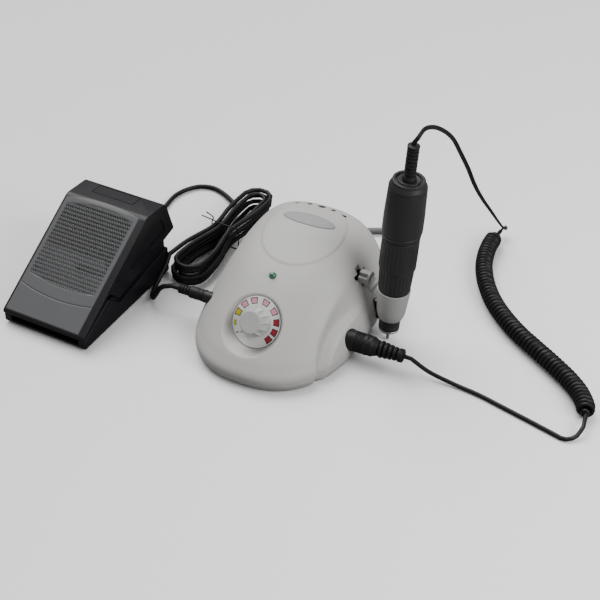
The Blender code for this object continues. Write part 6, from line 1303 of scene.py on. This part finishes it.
class MICROMOTOR_OT_cradle(MicromotorOperator, bpy.types.Operator):
    """Makes the cradle: cup, ringed arm, collar and cross peg"""
    bl_idname, bl_label = "micromotor.cradle", "Cradle"
    uses = ("handpiece",)

    def execute(self, context):
        settings, = self.looks(context)
        clear, wall, mouth = 0.0005, 0.0013, 0.00825
        flare, top = 0.0088 + clear + wall, 0.0106 + clear + wall
        outer = [(0, 0.0200), (mouth + 0.0008, 0.0200, 0.0003), (flare, 0.0245, 0.003), (top, 0.0461, 0.0005),
                 (0, 0.0461)]
        cup = lathe(outer, HAND, 96, 0.0005, 4)
        bore = [(0, 0.0150), (mouth + 0.0006, 0.0150), (mouth + 0.0003, 0.0200), (mouth, 0.0206),
                (mouth, 0.0215),
                *mm((9.3, 24.5), (11.1, 45.6), (11.6, 46.2), (11.6, 50), (0, 50))]
        foot = ORIGIN + PEG
        goal = HAND[0] + HAND[1] @ np.array((0, 0, ARM_HEIGHT))
        reach = goal - foot
        length = float(np.linalg.norm(reach))
        turn = np.array(Vector(reach).to_track_quat("Z", "Y").to_matrix())
        # radius and share of the arm's length
        rings = ((ARM_PEG_R, 0.30), (0.0057, 0.315), (0.0057, 0.385), (0.0050, 0.40), (0.0052, 0.42))
        line = [(0, 0.0020), (ARM_PEG_R, 0.0020), *((r, length * share) for r, share in rings),
                (0.0060, length * 0.50, 0.002), (0.0068, length * 0.60), (0.0050, length * 0.9),
                (0, length * 0.9)]
        arm = lathe(line, (foot, turn), 64, 0.0003, 4)
        collar = rod(COLLAR_R, COLLAR_LOW, COLLAR_LOW + COLLAR_T, 64, 0.0004)
        collar = stood(collar, (foot, turn_of(("Y", math.pi / 2))))
        a, b = CROSS_PEG_LONG / 2, CROSS_T / 2
        cross = [(a, -b), (a, b), (b, b), (b, a), (-b, a), (-b, b), (-a, b), (-a, -b), (-b, -b), (-b, -a),
                 (b, -a), (b, -b)]
        peg = moved(slab(np.array(cross), PEG_IN, PEG_OUT, 0.0003, 0.0003, to_space=ACROSS), foot)
        mesh = worked("cradle_cup", [cup], join=[arm, collar, peg], cut=[lathe(bore, HAND, 96, 0.0002)])
        piece("cradle_cup", mesh, self.plastic(settings.cradle_colour[:]), "root",
              ["cradle"])
        return {"FINISHED"}

    def plastic(self, colour):
        """Smooth grey plastic, with painted shade that makes it a darker grey along the arm than on the cup.
        """
        look = Finish("cradle_plastic")
        across = look.add("ShaderNodeSeparateXYZ", None, {0: look.at()})
        # painted shade: a ramp on X darkens the arm's end of the cradle to 0.62 of its grey
        cup = look.ramp((across - float(ORIGIN[0] + PEG[0] + 0.0040)) * 120.0, (0.15, 0.0), (0.85, 1.0))
        cloud, grain = look.noise(0.010, 3.0), look.noise(0.0008, 2.0)
        tone = look.mix(cup, shade(colour, 0.62), colour)
        base = look.mix(cloud * 0.12, tone, shade(colour, 0.8))
        return look.skin(base_color=base, roughness=0.38 + cloud * 0.08, normal=look.bump(grain, 0.00002))


class MICROMOTOR_OT_handpiece(MicromotorOperator, bpy.types.Operator):
    """Makes the handpiece: nose, grip, lock ring, motor body, rear cap, cord relief and tool pin"""
    bl_idname, bl_label = "micromotor.handpiece", "Handpiece"
    uses = ("handpiece",)

    def execute(self, context):
        settings, = self.looks(context)
        coat = moulded("handpiece_coat", settings.colour[:], 0.42, 0.0005, 0.00002, 0.12, edge_wear_and_highlight=0.35)
        steel = machined("nose_steel", shade(settings.steel_colour[:], 0.72), 0.36)

        def part(name, profile, node, body="handpiece", slot="handpiece_black", look=coat, steps=96,
                 soft=0.0003, shape=None, spacing=None):
            line = eased(profile, soft, 4, profile[0][0] > 0 and profile[-1][0] > 0)
            line = even_rows(line, spacing) if spacing else line
            piece(name, [stood(turned(line, steps, shape), HAND)], look, body, [node])
        shank = machined("pin_steel", shade(settings.steel_colour[:], 0.95), 0.34)
        part("tool_pin", TOOL_PIN, "bur_blank", "rotor", "steel", shank, 32)
        part("nose_cone", NOSE_CONE, "nose_cap", slot="steel", look=steel, steps=64, soft=0.0002)
        part("nose_band", NOSE_BAND, "nose_ring", steps=80, soft=0.00015)
        flutes = settings.flutes

        def fluting(a, z):
            """Rounded flutes between two plain bands."""
            return -0.00032 * (0.5 - 0.5 * np.cos(flutes * a)) ** 0.8 * window(z, 0.0490, 0.0652, 0.0012)
        part("grip_sleeve", GRIP_SLEEVE, "front_grip", steps=flutes * 10, shape=fluting, spacing=0.0012)
        part("lock_ring_panelled", LOCK_RING, "lock_ring", "lock_ring", steps=360,
             shape=self.panelling(settings.panels), spacing=0.0004)
        part("motor_body", MOTOR_BODY, "motor_housing")
        part("rear_cap_stepped", REAR_CAP, "rear_cap", soft=0.0002)
        rubber = rubbery("handpiece_relief_rubber", (0.016, 0.016, 0.018), 0.46)
        low, top = RELIEF_LOW + GAP, RELIEF_TOP
        start, count = low + 0.0032, 8
        pitch = (top - 0.0020 - start) / count
        groove = ((0.0029, 0.0001), (0.0029, pitch * 0.40), (0.0043, pitch * 0.46), (0.0043, pitch * 0.96))
        relief = [(0, low), (0.0052, low), (0.0050, low + 0.0010), (0.0043, low + 0.0026),
                  (0.0043, low + 0.0030)]
        relief += [(r, start + k * pitch + z) for k in range(count) for r, z in groove]
        relief += [(0.0034, top - 0.0021), (0.0034, top - 0.0017), (0.0044, top - 0.0016),
                   (0.0044, top - 0.0004), (0.0030, top), (0, top)]

        def bridges(a, z):
            """Grooves are bridged on two sides, and each next one a quarter turn on."""
            k = np.floor((z - start) / pitch)
            inside = window((z - start) / pitch - k, 0.0, 0.42, 0.05) * (z > start) * (z < top - 0.0021)
            return 0.0011 * inside * ease((np.cos(2 * a + math.pi * k) - 0.70) / 0.20)
        part("handpiece_relief", relief, "handpiece_cord_relief", slot="relief_black", look=rubber, steps=48,
             soft=0.0002, shape=bridges)
        return {"FINISHED"}

    def panelling(self, panels):
        """Panels of long grooves, each framed by a fine line, with a short index mark between two panels."""
        def shape(a, z):
            wide = 360 / panels
            local = (np.degrees(a) + wide / 2) % wide - wide / 2
            half = wide * 0.36
            outside = z * 0 + a * 0
            on = window(z, 0.0706, 0.0896, 0.0010)
            for k in range(-2, 3):
                outside = outside + np.exp(-((local - k * half * 0.36) / 1.8) ** 2) * on * 0.00042
            frame_line = np.exp(-((np.abs(local) - half) / 0.8) ** 2) * window(z, 0.0688, 0.0914, 0.0006)
            rims = (np.exp(-((z - height) / 0.0003) ** 2) for height in (0.0690, 0.0912))
            frame_line = np.maximum(frame_line, (np.abs(local) < half) * np.maximum(*rims))
            mark = np.exp(-((np.abs(local) - wide / 2) / 1.5) ** 2) * window(z, 0.0880, 0.0925, 0.0006)
            outer = (z > 0.0671) * (z < 0.0931)
            return -(outside + frame_line * 0.00022 + mark * 0.0003) * outer
        return shape


class MICROMOTOR_OT_pedal(MicromotorOperator, bpy.types.Operator):
    """Makes the pedal: base, feet, treadle, dotted tread, return spring and cord relief"""
    bl_idname, bl_label = "micromotor.pedal", "Foot pedal"
    uses = ("pedal",)

    def execute(self, context):
        settings, = self.looks(context)
        gloss = moulded("pedal_gloss", settings.colour[:], 0.34, 0.0012, 0.00001, 0.15, coat=0.05, edge_wear_and_highlight=0.2,
                        gloss=0.26)
        half = PEDAL_W / 2
        rise = (CREST[1] - LIP[1]) / (CREST[0] - LIP[0])

        def top(y):
            return LIP[1] + (y - LIP[0]) * rise

        def under(y):
            return top(y) - PEDAL_PLATE

        def side(line, low, high, soft=0.0, corner=0.0):
            """Side outline, given clockwise as the source gives it, raised across the pedal."""
            outline = eased(line, corner, 6, True) if corner else np.array([p[:2] for p in line], float)
            return slab(outline[::-1], low, high, soft, soft, 4, ACROSS)
        outer = [(*LIP, 0.0016), (*CREST, 0.003), (*REAR, 0.004), (*SKIRT, 0.0015), (*SKIRT_FRONT, 0.003),
                 (SKIRT_TOP_Y, under(SKIRT_TOP_Y), 0.004), (LIP[0], under(LIP[0]), 0.0019)]
        start = SKIRT_TOP_Y + PEDAL_WALL * 2
        inner_skirt = SKIRT[0] - PEDAL_WALL
        inside = [(start, under(start)), (CREST[0], CREST[1] - PEDAL_PLATE),
                  (REAR[0] - 0.0013, REAR[1] - PEDAL_PLATE),
                  (inner_skirt, SKIRT[1]), (inner_skirt, 0.004), (start, 0.004)]
        cuts = [side(inside, -half + PEDAL_WALL, half - PEDAL_WALL)]
        for x in (-half - 0.004, half - 0.0008):
            cuts.append(side(PEDAL_HOLLOW, x, x + 0.0048, 0.0, 0.003))
        cuts.append(self.rear_panel((0.1025 + 0.1145) / 2))
        hinge = (np.array((0, HINGE_Y, HINGE_Z)), turn_of(("Y", math.pi / 2)))
        seat = stood(rod(HINGE_PIN_R + GAP, -half + CHEEK / 2, half - CHEEK / 2, 24), hinge)
        barrel = stood(rod(HINGE_R, -half + CHEEK + 2 * GAP, half - CHEEK - 2 * GAP, 40), hinge)
        boss = moved(rod(0.0062, SPRING_TOP, under(SPRING_Y - 0.0062) + PEDAL_PLATE / 2, 32),
                     (0, SPRING_Y, 0))
        mesh = worked("treadle_shell", [side(outer, -half, half, 0.0005, 0.002)], cut=cuts)
        mesh = self.with_solids("treadle_shell", mesh, [barrel, boss], [seat])
        self.seat(mesh)
        piece("treadle_shell", mesh, gloss, "treadle", ["treadle"], crease=28)
        self.tread(settings, half)
        base = [(LIP[0] + PEDAL_WALL, 0.0085), (0.0360, 0.0190), (PEDAL_L, 0.0420, 0.002), (PEDAL_L, BASE_Z0),
                (LIP[0] + PEDAL_WALL, BASE_Z0)]
        nose, tail, floor = 0.0032, PEDAL_L - 0.0004, BASE_Z0 + 0.0001
        front = [(nose, under(nose) - 0.0012), (SKIRT_TOP_Y - 0.0016, under(SKIRT_TOP_Y) - 0.0042),
                 (0.0500, 0.0141, 0.0014), (tail, 0.0240, 0.0014), (tail, floor), (nose, floor)]
        near, far, deep = PEDAL_WALL, PEDAL_L - PEDAL_WALL, BASE_Z0 + PEDAL_WALL
        room = [(near, 0.066), (far, 0.066), (far, deep), (near, deep)]
        inset = PEDAL_WALL + PEDAL_SLIP
        exit_stand = (np.array((EXIT_AT[0] + half, PEDAL_L, EXIT_AT[2])), turn_of(("X", -math.pi / 2)))
        cuts = [side(room, -half + CHEEK, half - CHEEK), seat,
                stood(rod(0.0037, -0.008, 0.004, 32), exit_stand)]
        body, lower = (side(line, -reach, reach, 0.0004, 0.0014) for line,
                       reach in ((base, half - inset), (front, half)))
        mesh = worked("pedal_body", [body], join=[lower], cut=cuts)
        self.seat(mesh)
        piece("pedal_body", mesh, gloss, "root", ["pedal_base"], crease=28)
        rubber = rubbery("pedal_foot_rubber", (0.028, 0.028, 0.031), 0.8)
        foot = slab(rectangle(0.0560, 0.0080, 0.0016), 0.0, 0.0022, 0.0005, 0.0)
        feet = [stood(moved(foot, (0, y, 0)), PEDAL_MIDDLE) for y in (0.0120, 0.1020)]
        piece("pedal_feet", feet, rubber, "root", ["pedal_foot_front", "pedal_foot_back"])
        rubber = rubbery("pedal_relief_rubber", (0.02, 0.02, 0.022), 0.55)
        sleeve = lathe(PEDAL_SLEEVE, PEDAL_EXIT, 40)
        piece("pedal_relief", [sleeve], rubber, "root", ["pedal_cord_relief"])
        self.spring()
        return {"FINISHED"}

    def seat(self, mesh):
        mesh.transform(Matrix.Translation(PEDAL_MIDDLE[0]) @ Matrix(PEDAL_MIDDLE[1]).to_4x4())

    def with_solids(self, name, mesh, join, cut):
        """Joins and cuts once more, after a first round of cuts."""
        points = np.zeros(len(mesh.vertices) * 3)
        mesh.vertices.foreach_get("co", points)
        faces = [np.array([list(face.vertices)]) for face in mesh.polygons]
        return worked(name, [(points.reshape(-1, 3), faces)], join=join, cut=cut)

    def rear_panel(self, middle):
        """Fine groove round a bare rectangle on the flat behind the crest."""
        tilt = math.atan2(REAR[1] - CREST[1], REAR[0] - CREST[0])
        z = CREST[1] + (middle - CREST[0]) * math.tan(tilt)
        stand = (np.array((-0.0022, middle, z)), turn_of(("X", tilt)))
        outer, inner = rectangle(0.0386, 0.0116, 0.0008, 3), rectangle(0.0374, 0.0104, 0.0005, 3)
        rows = ((outer, -0.0004), (outer, 0.003), (inner, 0.003), (inner, -0.0004))
        return stood(woven(np.stack([levelled(line, height) for line, height in rows]), ring=True), stand)

    def tread(self, settings, half):
        """Sheet over the slope and a little past the crest, with rows of dots on a wavy line.

        A shallow groove runs in an arc below the dots, and a row of faces round the sheet's edge closes it.
        """
        profile = eased([(*LIP, 0.0016), (*CREST, 0.003), (*REAR, 0.004)], 0.002, 8)
        run = run_of(profile)
        left, right = 0.0012 - half, half - 0.0052
        x = np.linspace(left, right, 240)[None]
        arch = 1 - (x / half) ** 2
        first, last = 0.0012 + 0 * x, 0.1010 + 0.0062 * arch
        share = np.linspace(0, 1, 340)[:, None]
        s = first + (last - first) * share
        y, z = np.interp(s, run, profile[:, 0]), np.interp(s, run, profile[:, 1])
        slope = np.gradient(profile, run, axis=0)
        ny, nz = -np.interp(s, run, slope[:, 1]), np.interp(s, run, slope[:, 0])
        low_edge, high_edge = 0.0360 - 0.0050 * arch, 0.0950 + 0.0062 * arch
        on = window(s, low_edge, high_edge, 0.0012) * window(x, left + 0.0036, right - 0.0036, 0.0010)
        wave = np.cos(TAU * (s + 0.00055 * np.cos(TAU * x / settings.dot_pitch)) / settings.row_pitch)
        dots = ease((wave - 0.1) / 0.7) * (0.55 + 0.45 * np.cos(TAU * x / (settings.dot_pitch / 2)))
        groove_at = 0.0262 - 0.0052 * arch
        groove = np.exp(-((s - groove_at) / 0.00035) ** 2) * window(x, left + 0.0010, right - 0.0010, 0.0010)
        rim = np.minimum(np.minimum(x - left, right - x), np.minimum(s - first, last - s))
        relief = settings.dot_height * (dots - 0.5) * on - 0.00035 * groove
        lift = -0.0003 + 0.0006 * ease(rim / 0.0010) + relief
        points = np.stack([x + 0 * s, y + ny * lift, z + nz * lift], -1)
        top_part, rows, columns = points.reshape(-1, 3), *points.shape[:2]
        number = np.arange(rows * columns).reshape(rows, columns)
        rim_loop = np.concatenate([number[0, :-1], number[:-1, -1], number[-1, :0:-1], number[:0:-1, 0]])
        under_points = top_part[rim_loop] - np.array((0, 0, 0.0010))
        base, count = len(top_part), len(rim_loop)
        low_loop = base + np.arange(count)
        skirt = np.stack([rim_loop, low_loop, np.roll(low_loop, -1), np.roll(rim_loop, -1)], -1)
        corners = number[:-1, :-1], number[:-1, 1:], number[1:, 1:], number[1:, :-1]
        quads = np.stack(corners, -1).reshape(-1, 4)
        floor = low_loop[None, ::-1]
        sheet = (np.concatenate([top_part, under_points]), [quads, skirt, floor])
        look = Finish("tread_matt")
        colour = settings.pad_colour[:]
        cloud, fine = look.noise(0.02, 4.0), look.noise(0.0004, 3.0, 0.6)
        base_colour = look.mix(cloud * 0.7 + fine * 0.3, shade(colour, 0.86), shade(colour, 1.16))
        matt = look.skin(base_color=base_colour, roughness=0.5 + (cloud - 0.5) * 0.14,
                         normal=look.bump(fine, 0.00004))
        piece("tread_dotted", [stood(sheet, PEDAL_MIDDLE)], matt, "treadle", ["treadle_pad"],
              crease=50)

    def spring(self):
        """Open coil with closed end turns."""
        low, high = BASE_Z0 + PEDAL_WALL + GAP + SPRING_WIRE_R, SPRING_TOP - GAP - SPRING_WIRE_R
        turns = 6
        t = np.linspace(0, turns, turns * 20 + 1)
        z = low + (high - low) * np.clip((t / turns - 0.08) / 0.84, 0, 1)
        path = np.stack([SPRING_R * np.cos(TAU * t), SPRING_Y + SPRING_R * np.sin(TAU * t), z], -1)
        path = PEDAL_MIDDLE[0] + path @ PEDAL_MIDDLE[1].T
        steel = machined("spring_steel", (0.55, 0.55, 0.55), 0.3)
        wire = [tube(path, SPRING_WIRE_R, 10)]
        coil = piece("return_coil", wire, steel, "root", ["return_spring"], free=True)
        tuple(path[0] + np.array((0, 0, high - low)))
        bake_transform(coil)


class MICROMOTOR_OT_inner_parts(MicromotorOperator, bpy.types.Operator):
    """Gives the parts inside the box and the handpiece their finishes"""
    bl_idname, bl_label = "micromotor.inner_parts", "Inner parts"

    def execute(self, context):
        looks = {
            ("circuit_board", "brush_holder"): self.board(),
            ("transformer_core", "armature"): self.laminated(),
            ("transformer_winding", "commutator"): self.wound(),
            ("pot_shaft", "collet"): machined("turned_brass", (0.65, 0.46, 0.17), 0.32),
            ("heat_sink",): machined("sink_alloy", (0.56, 0.56, 0.57), 0.42, (1, 1, 10), 0.001),
            ("potentiometer",): machined("pressed_can", (0.58, 0.58, 0.57), 0.34, (1, 1, 1), 0.002),
            ("spindle", "motor_shaft", "nose_bearing",
             "hinge_pin"): machined("ground_steel", (0.60, 0.60, 0.60), 0.22),
            ("stator_magnets",): rubbery("sintered_magnet", (0.10, 0.10, 0.11), 0.6),
        }
        for nodes, look in looks.items():
            for name in nodes:
                data = frame["nodes"][name].data
                data.materials.clear()
                data.materials.append(look)
        return {"FINISHED"}

    def board(self):
        """Green lacquer over a grid of tracks with round tinned pads."""
        look = Finish("board_laminate")
        tracks = look.ramp(look.cells(0.0042, "DISTANCE_TO_EDGE"), (0.06, 1.0), (0.09, 0.0))
        pads = look.ramp(look.cells(0.0050), (0.16, 1.0), (0.20, 0.0))
        base = look.mix(tracks * 0.6, (0.015, 0.12, 0.045), (0.05, 0.22, 0.07))
        return look.skin(base_color=look.mix(pads, base, (0.60, 0.60, 0.58)), metallic=pads * 0.9,
                         roughness=0.42 - pads * 0.1, normal=look.bump(tracks + pads, 0.00004))

    def laminated(self):
        """Stack of thin steel sheets: fine lines across one way, with brownish varnish."""
        look = Finish("sheet_stack")
        lines = look.add("ShaderNodeTexWave", {"bands_direction": "Y"},
                         {"Vector": look.at(), "Scale": 320.0, "Distortion": 0.4})
        cloud = look.noise(0.006, 4.0)
        base = look.mix(cloud, (0.16, 0.15, 0.15), (0.26, 0.24, 0.23))
        return look.skin(base_color=base, metallic=0.7, roughness=0.46 + cloud * 0.1,
                         normal=look.bump(lines, 0.00006))

    def wound(self):
        """Enamelled copper wire laid side by side."""
        look = Finish("copper_wire")
        lines = look.add("ShaderNodeTexWave", {"bands_direction": "Z"},
                         {"Vector": look.at(), "Scale": 450.0, "Distortion": 0.3})
        base = look.mix(look.noise(0.004, 3.0), (0.50, 0.19, 0.08), (0.68, 0.30, 0.13))
        return look.skin(base_color=base, metallic=0.9, roughness=0.34 + lines * 0.12,
                         normal=look.bump(lines, 0.0001))


class MICROMOTOR_OT_stage(MicromotorOperator, bpy.types.Operator):
    """Sets the floor, the even sky and the soft lamps"""
    bl_idname, bl_label = "micromotor.stage", "Stage"
    uses = ("stage",)

    def execute(self, context):
        settings, = self.looks(context)
        tone = (*settings.floor_colour[:], 1.0)
        look = Finish("floor_paper")
        cloud = look.noise(0.4, 2.0)
        seen = look.add("ShaderNodeLightPath")
        paper = look.mix(cloud, shade(tone, settings.floor_lift * 0.997),
                         shade(tone, settings.floor_lift * 1.003))
        bounce = shade(tone, settings.floor_bounce)
        look.skin(base_color=look.mix(seen, bounce, paper), roughness=0.9, specular_ior_level=0.1)
        edge = np.linspace(-FLOOR_REACH, FLOOR_REACH, 13)
        x, y = np.meshgrid(edge, edge)
        sheet = woven(np.stack([x, y, 0 * x - FLOOR_DROP], -1), around=False, low=None, high=None)
        floor = bpy.data.objects.new("floor", mesh_of("floor", [sheet]))
        floor.data.materials.append(look.material)
        context.scene.collection.objects.link(floor)
        world = bpy.data.worlds.new("even_sky")
        world.use_nodes = True
        context.scene.world = world
        nodes, links = world.node_tree.nodes, world.node_tree.links
        sky = nodes["Background"]
        plain, blend, path = (nodes.new("ShaderNode" + kind)
                              for kind in ("Background", "MixShader", "LightPath"))
        backgrounds = ((sky, (1, 1, 1, 1), settings.sky_strength), (plain, tone, settings.floor_lift))
        for shader, colour, strength in backgrounds:
            shader.inputs[0].default_value, shader.inputs[1].default_value = colour, strength
        links.new(path.outputs["Is Camera Ray"], blend.inputs[0])
        links.new(sky.outputs[0], blend.inputs[1])
        links.new(plain.outputs[0], blend.inputs[2])
        links.new(blend.outputs[0], nodes["World Output"].inputs[0])
        high = bpy.data.lights.new("high_light", "SUN")
        high.energy, high.angle = settings.sun_strength, HIGH_LIGHT_ANGLE
        fill = bpy.data.lights.new("fill_lamp", "AREA")
        fill.shape, fill.size, fill.energy = "DISK", FILL_LAMP_SIZE, settings.fill_power
        for light, at in ((high, HIGH_LIGHT_AT), (fill, FILL_LAMP_AT)):
            lamp = bpy.data.objects.new(light.name, light)
            lamp.location = at
            lamp.rotation_euler = (Vector(LIGHTS_AIM) - Vector(at)).to_track_quat("-Z", "Y").to_euler()
            context.scene.collection.objects.link(lamp)
        return {"FINISHED"}


SETTINGS = {
    "box": BoxSettings, "dial": DialSettings, "handpiece": HandpieceSettings,
    "pedal": PedalSettings, "cord": CordSettings, "stage": StageSettings,
}
OPERATORS = (
    MICROMOTOR_OT_camera, MICROMOTOR_OT_cords, MICROMOTOR_OT_shell, MICROMOTOR_OT_tray,
    MICROMOTOR_OT_dial, MICROMOTOR_OT_top_fittings, MICROMOTOR_OT_side_fittings, MICROMOTOR_OT_cradle,
    MICROMOTOR_OT_handpiece, MICROMOTOR_OT_pedal, MICROMOTOR_OT_inner_parts, MICROMOTOR_OT_stage,
)


class MICROMOTOR_PT_panel(bpy.types.Panel):
    """Sizes, colours and pieces of the micromotor"""
    bl_idname, bl_label = "MICROMOTOR_PT_panel", "Micromotor"
    bl_space_type, bl_region_type, bl_category = "VIEW_3D", "UI", "Micromotor"

    def draw(self, context):
        for key, group in SETTINGS.items():
            box = self.layout.box()
            box.label(text=key.title())
            for name in group.__annotations__:
                box.prop(getattr(context.scene, "micromotor_" + key), name)
        for operator in OPERATORS:
            self.layout.operator(operator.bl_idname)


def register():
    for made in (*SETTINGS.values(), *OPERATORS, MICROMOTOR_PT_panel):
        bpy.utils.register_class(made)
    for key, group in SETTINGS.items():
        setattr(bpy.types.Scene, "micromotor_" + key, PointerProperty(type=group))


def unregister():
    for key in SETTINGS:
        delattr(bpy.types.Scene, "micromotor_" + key)
    for made in reversed((*SETTINGS.values(), *OPERATORS, MICROMOTOR_PT_panel)):
        bpy.utils.unregister_class(made)


def main():
    register()
    for operator in OPERATORS:
        getattr(bpy.ops.micromotor, operator.bl_idname.split(".")[1])()


if __name__ == "__main__":
    main()
